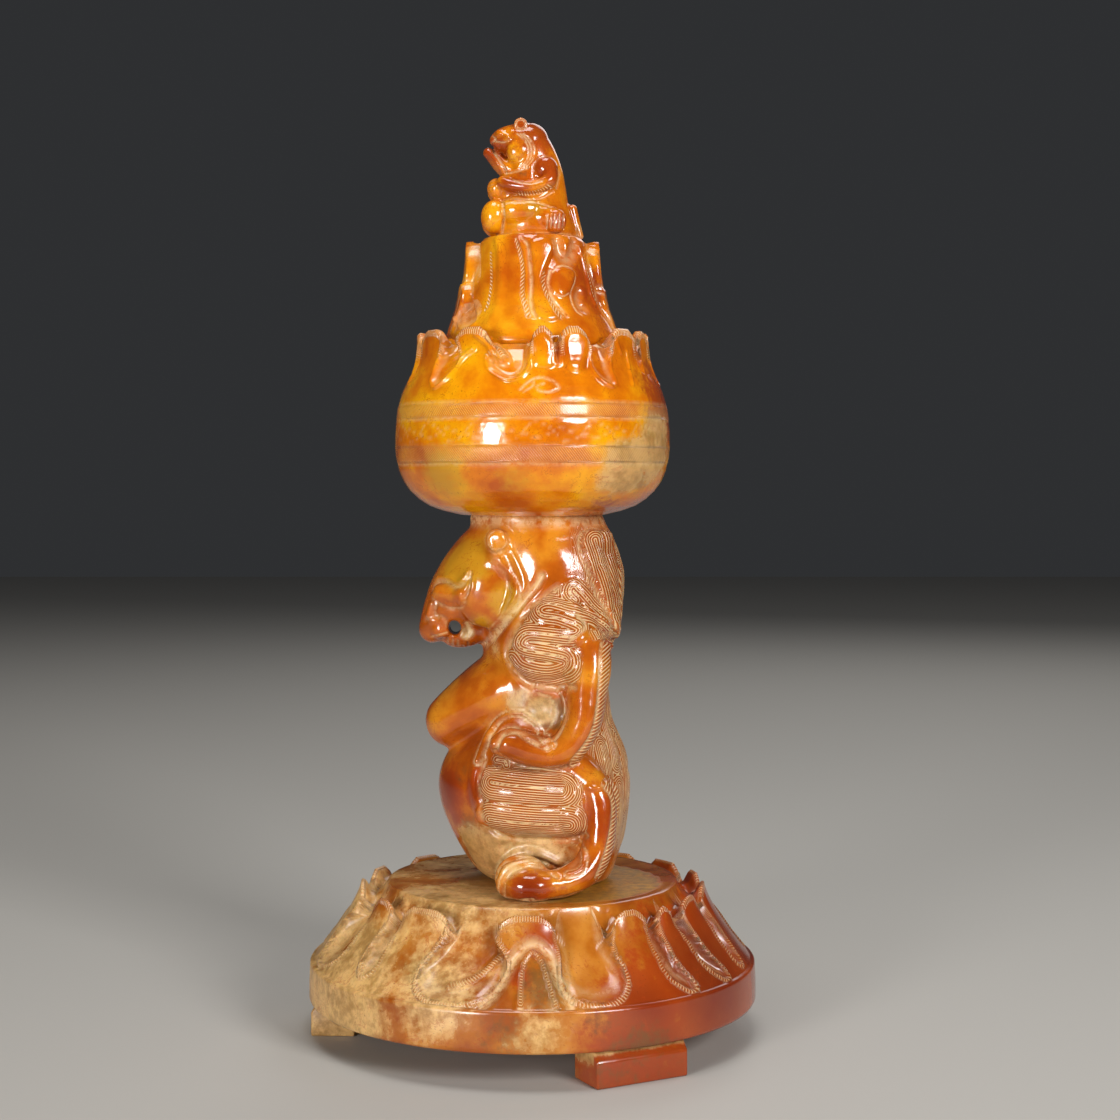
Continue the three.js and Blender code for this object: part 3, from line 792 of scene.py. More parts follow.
# %% [markdown]
# ## The engraved belt of the bowl
#
# Four thin lines run round the belly. Between the upper two and between the lower two, slanted cuts
# stand close together. The real ones are about two thirds of a millimetre apart. Here they are three
# quarters apart, so that they show. The middle strip holds loose arcs, so fine that they only glint.

# %% Bowl: engraved belt
BELT_LINES = (201.2, 195.9, 187.6, 182.1)
HATCH_PITCH = 0.75
turn_length = 2 * math.pi * BOWL_UNROLL
below_crown = ring < crown_start
for z in BELT_LINES:
    line = ease(1 - np.abs(flat[:, 1] - z) / 0.6)
    bowl_carving.dust = np.maximum(bowl_carving.dust, 0.4 * line * below_crown)
    bowl_carving.lift -= 0.14 * line * below_crown
cuts_round = round(turn_length / HATCH_PITCH)
for high, low in (BELT_LINES[:2], BELT_LINES[2:]):
    strip = (flat[:, 1] < high - 0.3) & (flat[:, 1] > low + 0.3) & below_crown
    slanted = azimuth / 360 * cuts_round + (flat[:, 1] - low) / HATCH_PITCH * 0.75
    bowl_carving.count[strip] = slanted[strip]
    bowl_carving.lined[strip] = 0.4
for start in range(-180, 180, 24):
    for shift, high, low in ((0, 194.6, 189), (11, 192.8, 189.6)):
        a = start + shift
        arc = [(a, low), (a + 6, low + 1.0), (a + 12, high), (a + 18, high - 1.2), (a + 23, low + 1.4)]
        bowl_carving.groove(on_bowl(arc), 0.5, 0.1, 0.3)
print("slanted cuts round the bowl", cuts_round)

# %% [markdown]
# ## Bowl: the front of the crown
#
# Under the crown a small curl is engraved. The mountains carry short cuts near their tops alone. In front,
# two of them are plump tongues, one has a wave along its side, and thin ridges run in the hollows.

# %% Bowl: front of the crown
SWIRL = [
    (-5, 204.6), (-1.6, 207), (3.2, 208.4), (8.6, 207.2), (11, 205), (7, 203.8), (3, 204.2), (2, 205.6),
    (4.6, 206.4),
]
bowl_carving.groove(on_bowl(SWIRL), 0.7, 0.16, 0.7)
bowl_carving.groove(on_bowl([(-3.6, 203.9), (0, 205.6), (0.6, 207)]), 0.6, 0.14, 0.6)
for outline in round_turn(BOWL_VALLEYS):
    bowl_carving.hatch(on_bowl(outline), 0.8, 1.5, lean=0.25, side=-1, start=0.5)
for centre, half in BOWL_LOBES:
    top = on_bowl([(centre - half, CROWN_TOP - 0.4), (centre, CROWN_TOP), (centre + half, CROWN_TOP - 0.4)])
    bowl_carving.hatch(top, 0.8, 1.5, start=0.3)
bowl_carving.lined *= np.where(on_crown, ease((flat[:, 1] - 214.5) / 3), 1)
TONGUES = (
    [
        (-1.2, 219), (0.3, 221.4), (4.8, 223), (9.3, 221.2), (11, 218.2), (10.8, 214), (9, 211.6), (4.6, 211),
        (0.2, 212.6),
    ],
    [
        (12.6, 220), (14.9, 223), (20.7, 224), (26.7, 223), (29, 220.3), (28.3, 216.7), (25.8, 213),
        (21.3, 210), (15.9, 210.8), (13.6, 214),
    ],
)
for tongue_edge in TONGUES:
    bowl_carving.plate(on_bowl(tongue_edge), 1.1, 3.2)
WAVE_FLANK = [(-24, 222.8), (-20.1, 221.3), (-17.1, 218.9), (-13.6, 215.4)]
bowl_carving.hatch(on_bowl(WAVE_FLANK), 0.8, 1.3)
for stops, width, height in (
    ([(-28.2, 221.9), (-22, 218.9), (-19.9, 216.5), (-17.7, 213.8)], 0.9, 0.6),
    ([(-45.3, 206), (-40.1, 208.8), (-37.1, 212.6), (-33.6, 215.6), (-29, 217.6)], 1.4, 0.8),
    ([(-44.3, 218.9), (-48.7, 216), (-50.9, 213), (-50.4, 208.7), (-47.6, 206.5)], 1.0, 0.6),
    ([(-45.4, 211), (-41.3, 212.7), (-37.9, 214.8)], 0.8, 0.5),
    ([(-19.9, 212.9), (-15, 209.2), (-9.6, 207.7), (-4.7, 208.6), (-1.9, 211.6), (-2, 215.2)], 1.4, 0.5),
    ([(29.1, 218.2), (27.3, 213), (28.7, 210), (31.5, 207.4), (35, 206.2)], 1.3, 0.7),
    ([(44, 221.3), (45.2, 218.9), (46.8, 216.6)], 0.9, 0.5),
    ([(51.4, 217.3), (50.5, 211.2), (48.6, 206.8)], 0.9, 0.6),
):
    bowl_carving.ridge(on_bowl(stops), width, height)

put(mesh, ring_points(profile_point[:, 0] + bowl_carving.lift, azimuth, profile_point[:, 1]))
keep_marks(mesh, bowl_carving)
print("bowl carved from", round(bowl_carving.lift.min(), 2), "to", round(bowl_carving.lift.max(), 2), "mm")

# %% [markdown]
# The stone is clearest in the bowl. A large tan crust lies low at its right, with russet round it, and a
# green tinge shows at the lower left.

# %% Bowl: stains
points = places(mesh)
keep_stains(
    mesh,
    olive=stain(points, [(-28, -32, 179, 13, 0.7), (-6, -42, 177, 11, 0.55), (-14, -42, 204, 9, 0.4)]),
    russet=stain(points, [
        (44, -12, 200, 22, 0.8), (30, -34, 212, 15, 0.45), (-44, -12, 206, 13, 0.4), (20, -20, 168, 17, 0.55),
        (-20, -20, 168, 13, 0.3), (40, 30, 195, 30, 0.6), (-36, 26, 200, 20, 0.4), (30, -30, 190, 10, 0.4),
    ]),
    crust=stain(points, [
        (31, -33, 180, 11, 1.0), (39, -22, 186, 12, 0.95), (26, -37, 176, 8, 0.8), (0, 0, 163, 24, 0.3),
    ]),
    brown=stain(points, [(36, -24, 176, 9, 0.6), (20, -36, 171, 9, 0.3), (0, 44, 180, 16, 0.35)]),
)
bowl = as_piece("round_bowl", mesh, "bear_and_bowl")

# %% [markdown]
# ## Clay before stone: the rough bear
#
# The bear is bent from simple forms, as a model in clay would be. A `ball` is an egg of clay. A `roll`
# is a limb: many balls pressed along a curve, so that it swells and thins as its stops say. The body
# is a `stack` of ovals, each drawn out of the last. All of it is then melted into one skin by a voxel
# remesh, which is how the separate forms become one stone with soft joints.

# %% Balls and rolls
def round_clay(around=24, tall=16):
    bm = bmesh.new()
    bmesh.ops.create_uvsphere(bm, u_segments=around, v_segments=tall, radius=1)
    mesh = bpy.data.meshes.new("round_clay")
    bm.to_mesh(mesh)
    bm.free()
    return mesh


CLAY = round_clay()


def ball(bm, centre, radii, lean=0.0):
    x, y, z = centre
    place = Matrix.Translation((x, y, z)) @ Matrix.Rotation(math.radians(lean), 4, "Y")
    egg = CLAY.copy()
    egg.transform(Matrix.Scale(MM, 4) @ place @ Matrix.Diagonal((*radii, 1)))
    bm.from_mesh(egg)
    bpy.data.meshes.remove(egg)


def pair(bm, centre, radii, lean=0.0):
    """A ball on the side that the camera sees, and its twin on the other side"""
    x, y, z = centre
    ball(bm, (x, y, z), radii, lean)
    ball(bm, (x, -y, z), radii, lean)


def roll(bm, stops, steps=7, both=True):
    """A limb through stops of x, y, z, half depth and half width"""
    for x, y, z, depth, width in smooth_path(stops, steps):
        radii = (depth, width, depth)
        if both:
            pair(bm, (x, y, z), radii)
        else:
            ball(bm, (x, y, z), radii)


print("faces of one ball of clay", len(CLAY.polygons))

# %% [markdown]
# `stack` starts from a circle and extrudes its edge once for each oval. New points come back in no
# order, so each is put in line after the old point that it grew from. The last ring is then capped.

# %% Stacks
def stack(bm, sections, steps=5, around=72):
    """A body of ovals: height, front x, back x and half width of each"""
    loop = None
    for z, front, rear, half in smooth_path(sections, steps):
        centre, reach = (front + rear) / 2, (rear - front) / 2
        if loop is None:
            loop = bmesh.ops.create_circle(bm, cap_ends=True, segments=around, radius=1)["verts"]
            unit = [(v.co.x, v.co.y) for v in loop]
        else:
            edges = [e for v in loop for e in v.link_edges if e.other_vert(v) in loop_set]
            grown = bmesh.ops.extrude_edge_only(bm, edges=list(set(edges)))["geom"]
            fresh = [v for v in grown if isinstance(v, bmesh.types.BMVert)]
            before = {
                v: next(e.other_vert(v) for e in v.link_edges if e.other_vert(v) in loop_set) for v in fresh
            }
            order = {old: i for i, old in enumerate(loop)}
            loop = sorted(fresh, key=lambda v: order[before[v]])
        loop_set = set(loop)
        for v, (ux, uy) in zip(loop, unit):
            v.co = ((centre + reach * ux) * MM, half * uy * MM, z * MM)
    bmesh.ops.contextual_create(bm, geom=[e for e in bm.edges if e.is_boundary])


# %% [markdown]
# `melted` turns the loose forms into one closed skin. A REMESH modifier in VOXEL mode does what wet clay
# does: forms that overlap become one. Holes are bored by a Boolean after a first melting, and a second
# one evens the mesh. A few rounds of smoothing then take the voxel's steps away.

# %% Melting into one skin
def melted(name, bm, voxel, holes=(), smoothing=6):
    """The forms as one skin. Holes are bored after a first melting, and a second one evens the mesh"""
    bmesh.ops.recalc_face_normals(bm, faces=bm.faces)
    mesh = bpy.data.meshes.new(name)
    bm.to_mesh(mesh)
    bm.free()
    draft = bpy.data.objects.new(name, mesh)
    bpy.context.scene.collection.objects.link(draft)

    def melt():
        remesh = draft.modifiers.new("melt", "REMESH")
        remesh.mode = "VOXEL"
        remesh.voxel_size = voxel * MM

    melt()
    drills = []
    for hole in holes:
        drill_mesh = bpy.data.meshes.new("drill")
        hole.to_mesh(drill_mesh)
        hole.free()
        drill = bpy.data.objects.new("drill", drill_mesh)
        bpy.context.scene.collection.objects.link(drill)
        cut = draft.modifiers.new("bore", "BOOLEAN")
        cut.operation = "DIFFERENCE"
        cut.solver = "MANIFOLD"
        cut.object = drill
        drills.append(drill)
    if drills:
        melt()
    graph = bpy.context.evaluated_depsgraph_get()
    result = bpy.data.meshes.new_from_object(draft.evaluated_get(graph))
    for spent in (draft, *drills):
        bpy.data.objects.remove(spent)
    bm = bmesh.new()
    bm.from_mesh(result)
    for _ in range(smoothing):
        bmesh.ops.smooth_vert(
            bm, verts=bm.verts, factor=0.5, use_axis_x=True, use_axis_y=True, use_axis_z=True,
        )
    bm.to_mesh(result)
    bm.free()
    result.materials.clear()
    return result


# %% [markdown]
# ## Bear: the large forms
#
# Only the side that faces the camera is described. `pair` and `roll` make its twin, because the real
# bear is as good as alike on both sides. The bear squats with its head bowed, its breast pushed out like a
# bird's, one elbow drawn back and the paw laid on its belly, and its thighs folded over its feet.

# %% Bear: large forms
TORSO = [
    (SOLE, -13, 24.5, 20), (52, -18.5, 26.5, 23), (58, -22.8, 28.4, 25.5), (65.4, -26.8, 30, 27.5),
    (73.2, -29.7, 31, 28.2), (81, -30.4, 31.2, 27.6), (88.8, -27.6, 30, 26.6), (95, -22, 27.5, 25.4),
    (101, -19, 25.2, 24.6), (111, -17, 24.3, 24.6), (119, -16.2, 24.6, 25), (125, -16, 26, 25.4),
    (133, -16, 28.6, 25.4), (146, -17, 29.4, 24.2), (152, -18, 28.2, 23.6), (157, -19, 26.4, 22.4),
    (163, -20, 23.8, 20.2), (166.5, -20.4, 22.4, 19.6),
]
HEAD = [
    (8, 0, 162, 14, 18), (-2, 0, 156, 15.2, 20), (-11, 0, 149, 15.8, 19.6), (-19.5, 0, 141.4, 13.4, 15.5),
    (-26, 0, 135.4, 9.4, 10.8), (-30.6, 0, 130.8, 6.0, 7.6), (-32.4, 0, 128.8, 4.6, 6.0),
]
BREAST = [
    (4, 0, 114, 13, 23.4), (-8, 0, 110, 12.6, 21.4), (-16, 0, 105.4, 11.4, 17.4),
    (-22.5, 0, 101.4, 9.8, 13.4), (-26, 0, 99.2, 8.8, 11),
]
FOREARM = [
    (12, -19, 127, 8, 8.4), (17, -21, 123, 7, 8), (17.8, -23, 118, 7, 7.6), (16.9, -24.6, 111.4, 6.6, 7.4),
    (16, -26.2, 103, 5.9, 7.4), (12.3, -27, 95.6, 5.6, 7.4), (6.4, -27.6, 92.2, 4.8, 7.4),
    (0, -28, 93, 5.2, 7.0), (-6.6, -28, 95.2, 4.9, 6.6), (-10.4, -27.6, 95.0, 3.2, 5.6),
]
LEG = [
    (13, -21, 86, 6.4, 7), (18.6, -23.6, 81.8, 5.2, 7), (20.8, -25, 76, 5.4, 7), (21, -26, 69, 5.2, 7),
    (20, -27.4, 62.2, 5, 6.8), (16.5, -30.4, 56.6, 5, 6.4), (10.5, -33.6, 53.6, 4.6, 6),
    (5, -35.8, 53.0, 4.4, 5.4),
]

print("body", len(TORSO), "ovals, from", TORSO[0][0], "to", TORSO[-1][0], "mm")

# %% [markdown]
# The smaller forms are single balls: cheeks, brow, jaw and nose, shoulders, thighs, toes and the point of
# the elbow. The ears are a short drum through the head, whose two ends show. The mouth is bored
# right through, the armpits are hollowed, and a block takes off all that hangs under the soles.

# %% Bear: small forms, holes and the melting
bm = bmesh.new()
stack(bm, TORSO)
roll(bm, HEAD, both=False)
roll(bm, BREAST, both=False)
roll(bm, FOREARM)
roll(bm, LEG)
pair(bm, (-13.6, -11.8, 142.6), (11.4, 8.4, 12.8), 12)
pair(bm, (-26.2, -8.2, 141), (5.6, 4.4, 3.4), 12)
pair(bm, (-29.6, -5.6, 129.0), (3.4, 3.4, 3.0))
ball(bm, (-21, 0, 127.6), (8.4, 8.4, 4.6), -16)
ball(bm, (-30.8, 0, 137), (3.2, 5.0, 7.0), 20)
pair(bm, (5.6, -19.4, 127.5), (12.6, 9.4, 14.6), 28)
pair(bm, (-1.4, -21.6, 77.2), (16.6, 9.6, 11.4), -2)
pair(bm, (-0.4, -36.6, 52.6), (8.2, 5.4, 5.0), 2)
pair(bm, (13.5, -24, 75.5), (7, 6.5, 9))
pair(bm, (20.8, -19.4, 125.2), (4.8, 6.4, 2.2), 8)
pair(bm, (-3.2, -32.4, 54), (8.6, 6.0, 7.8), 10)
ear = Matrix.Scale(MM, 4) @ Matrix.Translation((-11.2, 0, 158.2)) @ Matrix.Rotation(math.radians(90), 4, "X")
bmesh.ops.create_cone(bm, cap_ends=True, segments=40, radius1=3.7, radius2=3.7, depth=43.4, matrix=ear)
ball(bm, (-34.6, 0, 129.4), (2.2, 4.6, 1.9), 35)

mouth = bmesh.new()
bore = Matrix.Scale(MM, 4) @ Matrix.Translation((-25, 0, 129.8)) @ Matrix.Diagonal((1.1, 1, 1.35, 1))
bmesh.ops.create_cone(
    mouth, cap_ends=True, segments=24, radius1=1.9, radius2=1.9, depth=40,
    matrix=bore @ Matrix.Rotation(math.radians(90), 4, "X"),
)
armpits = bmesh.new()
pair(armpits, (2.0, -31.5, 105.9), (7.8, 9, 6.2), 15)
under_feet = bmesh.new()
bmesh.ops.create_cube(under_feet, size=0.2, matrix=Matrix.Translation((0, 0, SOLE * MM - 0.1)))

mesh = melted("bear", bm, 0.68, (mouth, armpits, under_feet), smoothing=5)
print("bear vertices", len(mesh.vertices))

# %% [markdown]
# ## Bear: relief on its sides
#
# The bear is carved as seen from its side: x along the body and z up, both sides at once. Where the
# surface turns away, the tool has less freedom and the cuts fade out. First the head: a round ear, a
# double line that sweeps round the cheek, the brow, the eye, the nose, and a mouth with teeth.

# %% Bear: head
def from_the_side(points, normal):
    """A carving that sees both sides of an animal"""
    return Carving(points[:, [0, 2]], ease((np.abs(normal[:, 1]) - 0.1) / 0.28))


def circle(x, z, radius, tall=1.0, count=12):
    turns = np.linspace(0, 2 * math.pi, count + 1)[:-1]
    return [(x + radius * math.cos(t), z + radius * tall * math.sin(t)) for t in turns]


normal = normals(mesh)
points = places(mesh)
side = from_the_side(points, normal)
side.groove(circle(-11.2, 158.2, 3.7), 0.8, 0.5, 0.4, closed=True)
side.groove(circle(-11.2, 158.2, 3.0), 0.45, 0.3, 0.95, closed=True)
SWEEP_OUTER = [
    (-8.1, 158.9), (-5.6, 154.6), (-3.6, 150.4), (-2.0, 146.4), (-1.9, 142.6), (-3.6, 138.6), (-6.3, 134.6),
    (-9.8, 131.2),
]
SWEEP_INNER = [
    (-10.3, 154.2), (-7.6, 150.3), (-5, 145.8), (-4, 141.7), (-5.5, 138), (-8.5, 133.9), (-11, 131),
]
CHEEK_EDGE = [(-11.4, 150.8), (-8.8, 147.6), (-7.2, 144), (-6.8, 140.3), (-8.8, 135.3), (-12.5, 131.8)]
side.shelf(SWEEP_OUTER[::-1], 0.6, 5, edge=0.5, dust=0.3)
side.shelf(SWEEP_INNER[::-1], 0.7, 5, edge=0.45, dust=0.8)
side.groove(CHEEK_EDGE, 0.9, 0.35, 0.35)
side.groove([(-19.7, 147.8), (-20.1, 143), (-21.4, 139.8)], 0.9, 0.8, 0.5)
side.ridge([(-18.7, 147), (-19, 143.4), (-20.4, 139.6)], 0.9, 0.4)
BROW = [(-31.9, 141.9), (-30.4, 144.4), (-27.4, 144.7), (-24, 143.2), (-21.6, 144.6), (-20.6, 146.6)]
EYE = [(-29.6, 141.2), (-26.4, 140.9), (-23.6, 140.6)]
LOWER_LID = [(-31.8, 140.2), (-29, 138.3), (-25.5, 137.4), (-22.6, 137.9), (-21.6, 139.7)]
side.groove(BROW, 1.1, 0.9, 0.5)
side.ridge([(x + 0.3, z + 1.3) for x, z in BROW], 1.2, 0.5)
side.pillow(EYE, 1.3, 2.6)
side.ridge(LOWER_LID, 0.9, 0.6)
side.groove([(x, z - 1.2) for x, z in LOWER_LID], 1.1, 0.6, 0.5)
side.ridge([(-32.4, 137.5), (-33.4, 133.6), (-32.6, 132.2)], 1.3, 0.7)
side.groove([(-31, 137.8), (-31.6, 134.8), (-30.4, 133)], 1.2, 0.9, 0.4)
side.groove([(-34.4, 132), (-31, 133.4), (-28.4, 133), (-27.2, 130.6)], 1.0, 0.5, 0.4)
side.groove([(-32.6, 126.6), (-29.2, 127.6), (-27.6, 128.2)], 0.6, 0.4)
side.ridge([(-27.6, 132), (-27.9, 129.6), (-27.2, 127.6)], 0.8, 0.5)
side.groove([(-21.2, 130.8), (-20.4, 129), (-21, 127.4)], 1.7, 1.0, 0.9)
for x in np.arange(-29.4, -19, 1.7):
    side.groove([(x, 123.6 - 0.22 * (x + 29)), (x + 0.2, 126.4 - 0.2 * (x + 29))], 0.6, 0.7, 0.5)
side.groove(
    [(2.8, 147), (0.6, 143.4), (-2.8, 139.6), (-6.4, 135.2), (-10.1, 130.6), (-13.7, 126), (-18, 121.4)], 1.9,
    1.3, 0.9,
)

print("points with dust on the head", int((side.dust > 0.3).sum()))

# %% [markdown]
# ## Bear: fur of the shoulder
#
# The shoulder's fur is one ribbon that swings to and fro, with a loop above it and a long lock behind
# it. Each is only a `spine`: the combed lines are the places of equal distance from it, so they
# nest round its ends by themselves. A pillow under each spine makes the ribbon swell.

# %% Bear: shoulder and lock
FUR_PITCH = 0.72
SHOULDER = [
    (13, 146.5), (4.8, 141.4), (1, 138), (-2.9, 133.6), (-5, 129), (-7.2, 124.1), (-6.1, 119.2),
    (-1.8, 114.6), (4.8, 113), (12.4, 113.6), (15, 116.4), (15.4, 122.5), (13.4, 127.4), (18, 129.8),
    (24.2, 129), (24.5, 132), (19, 141), (15.4, 146),
]
SHOULDER_SPINE = [
    (23.8, 129.6), (18.4, 133.9), (10.7, 136.7), (4.8, 138.1), (2, 136.6), (3.1, 134.6), (8, 133.8),
    (13.2, 131.7), (14.6, 129.8), (12.4, 128.4), (4.8, 129.2), (-1.2, 129.4), (-3.7, 126.9), (-2.5, 124.6),
    (4.8, 123.4), (10, 122), (10.4, 119.4), (4.8, 117.6), (-2.6, 119), (-5.6, 122),
]
UPPER_LOOP = [(23.7, 132.4), (18.5, 137.6), (14.6, 142.2), (12.5, 144), (11.4, 142), (13.4, 139.4)]
side.groove(
    [
        (8, 143.4), (1, 138.4), (-3.4, 133.8), (-7.8, 124.1), (-6.6, 118.6), (-2, 113.8), (4.8, 112.2),
        (12.6, 112.8),
    ],
    1.8, 1.0, 0.6,
)
side.pillow(SHOULDER_SPINE, 1.2, 2.9)
side.pillow(UPPER_LOOP, 0.7, 2.6)
side.strands([SHOULDER_SPINE, UPPER_LOOP], FUR_PITCH, SHOULDER)
side.groove([(13.4, 134.6), (15.6, 132.2), (15.4, 129.6), (11, 127)], 0.9, 0.5, 0.9)
LOCK_EDGE = [
    (21.4, 160.4), (18.1, 161.2), (15.2, 158.8), (15.7, 153.2), (19.3, 145), (22.9, 135.6), (24.4, 129.6),
]
LOCK_SPINE = [(18.7, 157.6), (20.9, 150.9), (23.7, 141.5), (25.3, 130.5)]
side.shelf(LOCK_EDGE, 1.5, 8, edge=0.6)
side.groove([(x - 0.7, z) for x, z in LOCK_EDGE], 0.8, 0.5, 0.5)
side.strands([LOCK_SPINE], FUR_PITCH, [
    (21.4, 160.4), (17.6, 161), (15.3, 158.6), (15.7, 153.2), (19.3, 145), (22.9, 135.6), (24.3, 130),
    (32, 130), (32, 152), (26, 164),
])

print("points under combed fur", int((side.lined > 0).sum()))

# %% [markdown]
# ## Bear: arm and paw
#
# A rope of slanted cuts runs along the outer edge of the arm. A flat band rims the dull hollow under the
# shoulder, and a second one, the cuff, curls over the paw.

# %% Bear: arm and paw
armpit = np.hypot((side.flat[:, 0] - 1.6) / 8.6, (side.flat[:, 1] - 106.4) / 6.8)
side.leave_dust(np.flatnonzero(armpit < 0.9), 0.15)
ROPE_EDGE = [(21.6, 126.3), (20.9, 121.4), (20.3, 109.4), (18, 98.5), (11.9, 90.2)]
ROPE = [(23.4, 126), (22.1, 114.4), (21.5, 107), (19, 98), (12.3, 89.2)]
side.groove(ROPE_EDGE, 0.8, 0.5, 0.9)
side.hatch(ROPE, 1.3, 1.7, lean=0.9)
side.band([(1.5, 112.2), (6.8, 110.2), (8.8, 104.9), (7.2, 99.8), (5.2, 97.6)], 3.0, 0.6, 0.7, 0.35)
CUFF = [
    (-17, 88.4), (-14.8, 93.9), (-12, 100), (-8.2, 103.3), (-3.5, 104), (0.7, 101.5), (3.4, 97.4),
    (6.4, 95.8),
]
side.band(CUFF, 1.9, 0.6, 0.6, 0.5)
side.groove([(-11.6, 93.2), (-9.3, 98.3), (-5, 99.4), (-0.7, 96.8), (4.7, 94.4)], 1.2, 0.7)
side.groove([(-12.1, 93), (-6.1, 89.2), (2, 87.4), (10.2, 88.2)], 1.4, 0.9)

print("arm cut", round(side.lift.min(), 2), "mm deep at most")

# %% [markdown]
# ## Bear: thigh, leg and foot
#
# The fur of the thigh is two long fingers, one over the other, with finer lines than the shoulder's.
# Another rope follows the back of the leg, and thin double lines run round the foot like the hem of a boot.

# %% Bear: thigh, leg and foot
THIGH_TOP = [(-12, 82.4), (-2, 81.8), (9.4, 80.8)]
THIGH_LOW = [(-12.6, 72.6), (0, 71.6), (11.6, 70.9)]
side.ridge([(-13.2, 96.4), (-16.4, 91.6), (-18, 85.9), (-18.2, 80.4), (-17.2, 74.8), (-14.6, 69.6)], 2.6, 0.9)
side.groove([(-14.6, 90), (-15.9, 85), (-16, 79), (-14.6, 72.4)], 1.0, 0.7, 0.6)
for spine, reach in ((THIGH_TOP, 5.1), (THIGH_LOW, 4.5)):
    side.pillow(spine, 1.7, reach + 0.2)
FINGERS = [
    (-13.6, 87.8), (-4, 88.2), (9.5, 87), (15.4, 83), (15.4, 77), (17, 73), (16.4, 67.6), (10, 65.6),
    (2, 66), (-8, 67), (-13.8, 71.2), (-15.4, 78), (-15, 84),
]
side.strands([THIGH_TOP, THIGH_LOW], 0.64, FINGERS, soft=0.4)
side.strands(
    [[(-11.2, 89.6), (-8.8, 89.2), (-8, 87.9)]], 0.64, [(-14, 86.6), (-14, 92), (-5, 92), (-5, 86)], soft=0.4,
    reach=1.7,
)
side.groove([(-14.6, 69.6), (-9, 65.8), (2, 64.8), (12, 65), (16.4, 67)], 1.5, 1.1, 0.5)
side.groove([(-7.5, 62.6), (3.2, 63.4), (11.4, 60.8)], 4.6, 1.6, 0.3)
side.ridge([(17.4, 82), (21, 82), (23.5, 83.2)], 1.1, 0.6)
LEG_ROPE = [(22.6, 83), (25.2, 79.4), (26, 75), (25, 68.2), (23.4, 61.6), (20.6, 54.7)]
side.groove([(21.4, 82.4), (24, 79.4), (24.8, 75.2), (24, 68.5), (22.2, 61.9), (19.4, 54.9)], 0.7, 0.4, 0.7)
side.hatch(LEG_ROPE, 1.3, 1.5, lean=0.9)
side.band([(12, 65), (15.2, 63), (16, 60.4), (14.6, 57.6), (11, 56.6)], 2.0, 0.5, 0.5, 0.3)
side.groove([(-8.9, 49.2), (-8.8, 53.4), (-6.8, 57), (-2.4, 58.9), (2.8, 58.4), (7.6, 56)], 0.9, 0.9, 0.6)
side.ridge([(-10.4, 49), (-10.2, 54), (-7.9, 58.4), (-3, 60.6), (2.6, 60), (7.6, 57.6)], 1.1, 0.5)
side.groove([(-10.2, 49), (-10, 54), (-7.7, 58.1), (-3, 60.2), (2.6, 59.7), (7.4, 57.4)], 0.4, 0.25, 0.9)
side.groove([(-11.9, 49), (-11.6, 54.4), (-8.8, 59.8), (-3.4, 62.6), (2.6, 62), (8, 59.4)], 0.7, 0.5, 0.8)
side.groove([(-2.8, 48.3), (-0.3, 48.6)], 1.7, 1.5, 0)
side.groove([(1, 48), (8.6, 49.4), (17.9, 51)], 1.0, 0.4, 0.9)

print("deepest cut on the bear's sides", round(side.lift.min(), 2), "mm")

# %% [markdown]
# ## Bear: fur down its back
#
# The back is unrolled round the body: length round it and height. Long upright spines, set like bricks,
# give the tall nested loops of combed fur. They reach round to the locks on the sides, and leave the
# backs of the arms and legs smooth.

# %% Bear: back relief
BACK_RADIUS = 27.0
around = np.arctan2(points[:, 1], points[:, 0] - 1) * BACK_RADIUS
back_freedom = ease(
    (normal[:, 0] - 0.25) / 0.3
) * ease((points[:, 2] - 57) / 5) * ease((163 - points[:, 2]) / 4)
back_freedom *= np.where(points[:, 2] < 127, ease((22.5 - np.abs(points[:, 1])) / 2.5), 1)
back_side = Carving(np.stack([around, points[:, 2]], axis=1), back_freedom)
STRAND_GAP = 6.4
spines = []
for column in range(-5, 6):
    for row in range(4):
        x, bottom = column * STRAND_GAP, 60 + row * 27 + (13 if column % 2 else 0)
        spines.append([(x, bottom), (x + 0.8, bottom + 10), (x, bottom + 20)])
back_side.strands(spines, FUR_PITCH, [(-36, 58), (-36, 163), (36, 163), (36, 58)], soft=1.0)
for spine in spines:
    back_side.pillow(spine, 0.45, 3.0)

print("spines of fur on the back", len(spines))

# %% [markdown]
# ## Bear: the cuts are made
#
# Where the back's fur meets the side's own lines, only one of them may run. Then all points move along
# their normals by the sum of the cuts, and dust is left under the bowl and under the soles.

# %% Bear: moving the points
lift = side.lift + back_side.lift
furrier = (back_side.lined > 0.02) & ((np.abs(normal[:, 1]) < 0.3) | (side.lined < 0.05))
side.count[furrier] = back_side.count[furrier]
side.lined[furrier] = back_side.lined[furrier]
neck_crust = ease((points[:, 2] - 160.5) / 3.5)
side.dust = np.maximum(side.dust, 0.6 * neck_crust)
side.dust = np.maximum(side.dust, 0.9 * ease(1 - (points[:, 2] - SOLE) / 1.6))
points = points + normal * lift[:, None]
points[:, 2] = np.clip(points[:, 2], SOLE, None)
put(mesh, points)
keep_marks(mesh, side)
print("lift from", round(lift.min(), 2), "to", round(lift.max(), 2), "mm")

# %% [markdown]
# ## Bear: its stains
#
# The head is olive, the paws, elbows and legs are russet, and the belly is red-brown above and
# crusted below. The spots are given for the side that the camera sees and mirrored to the other.

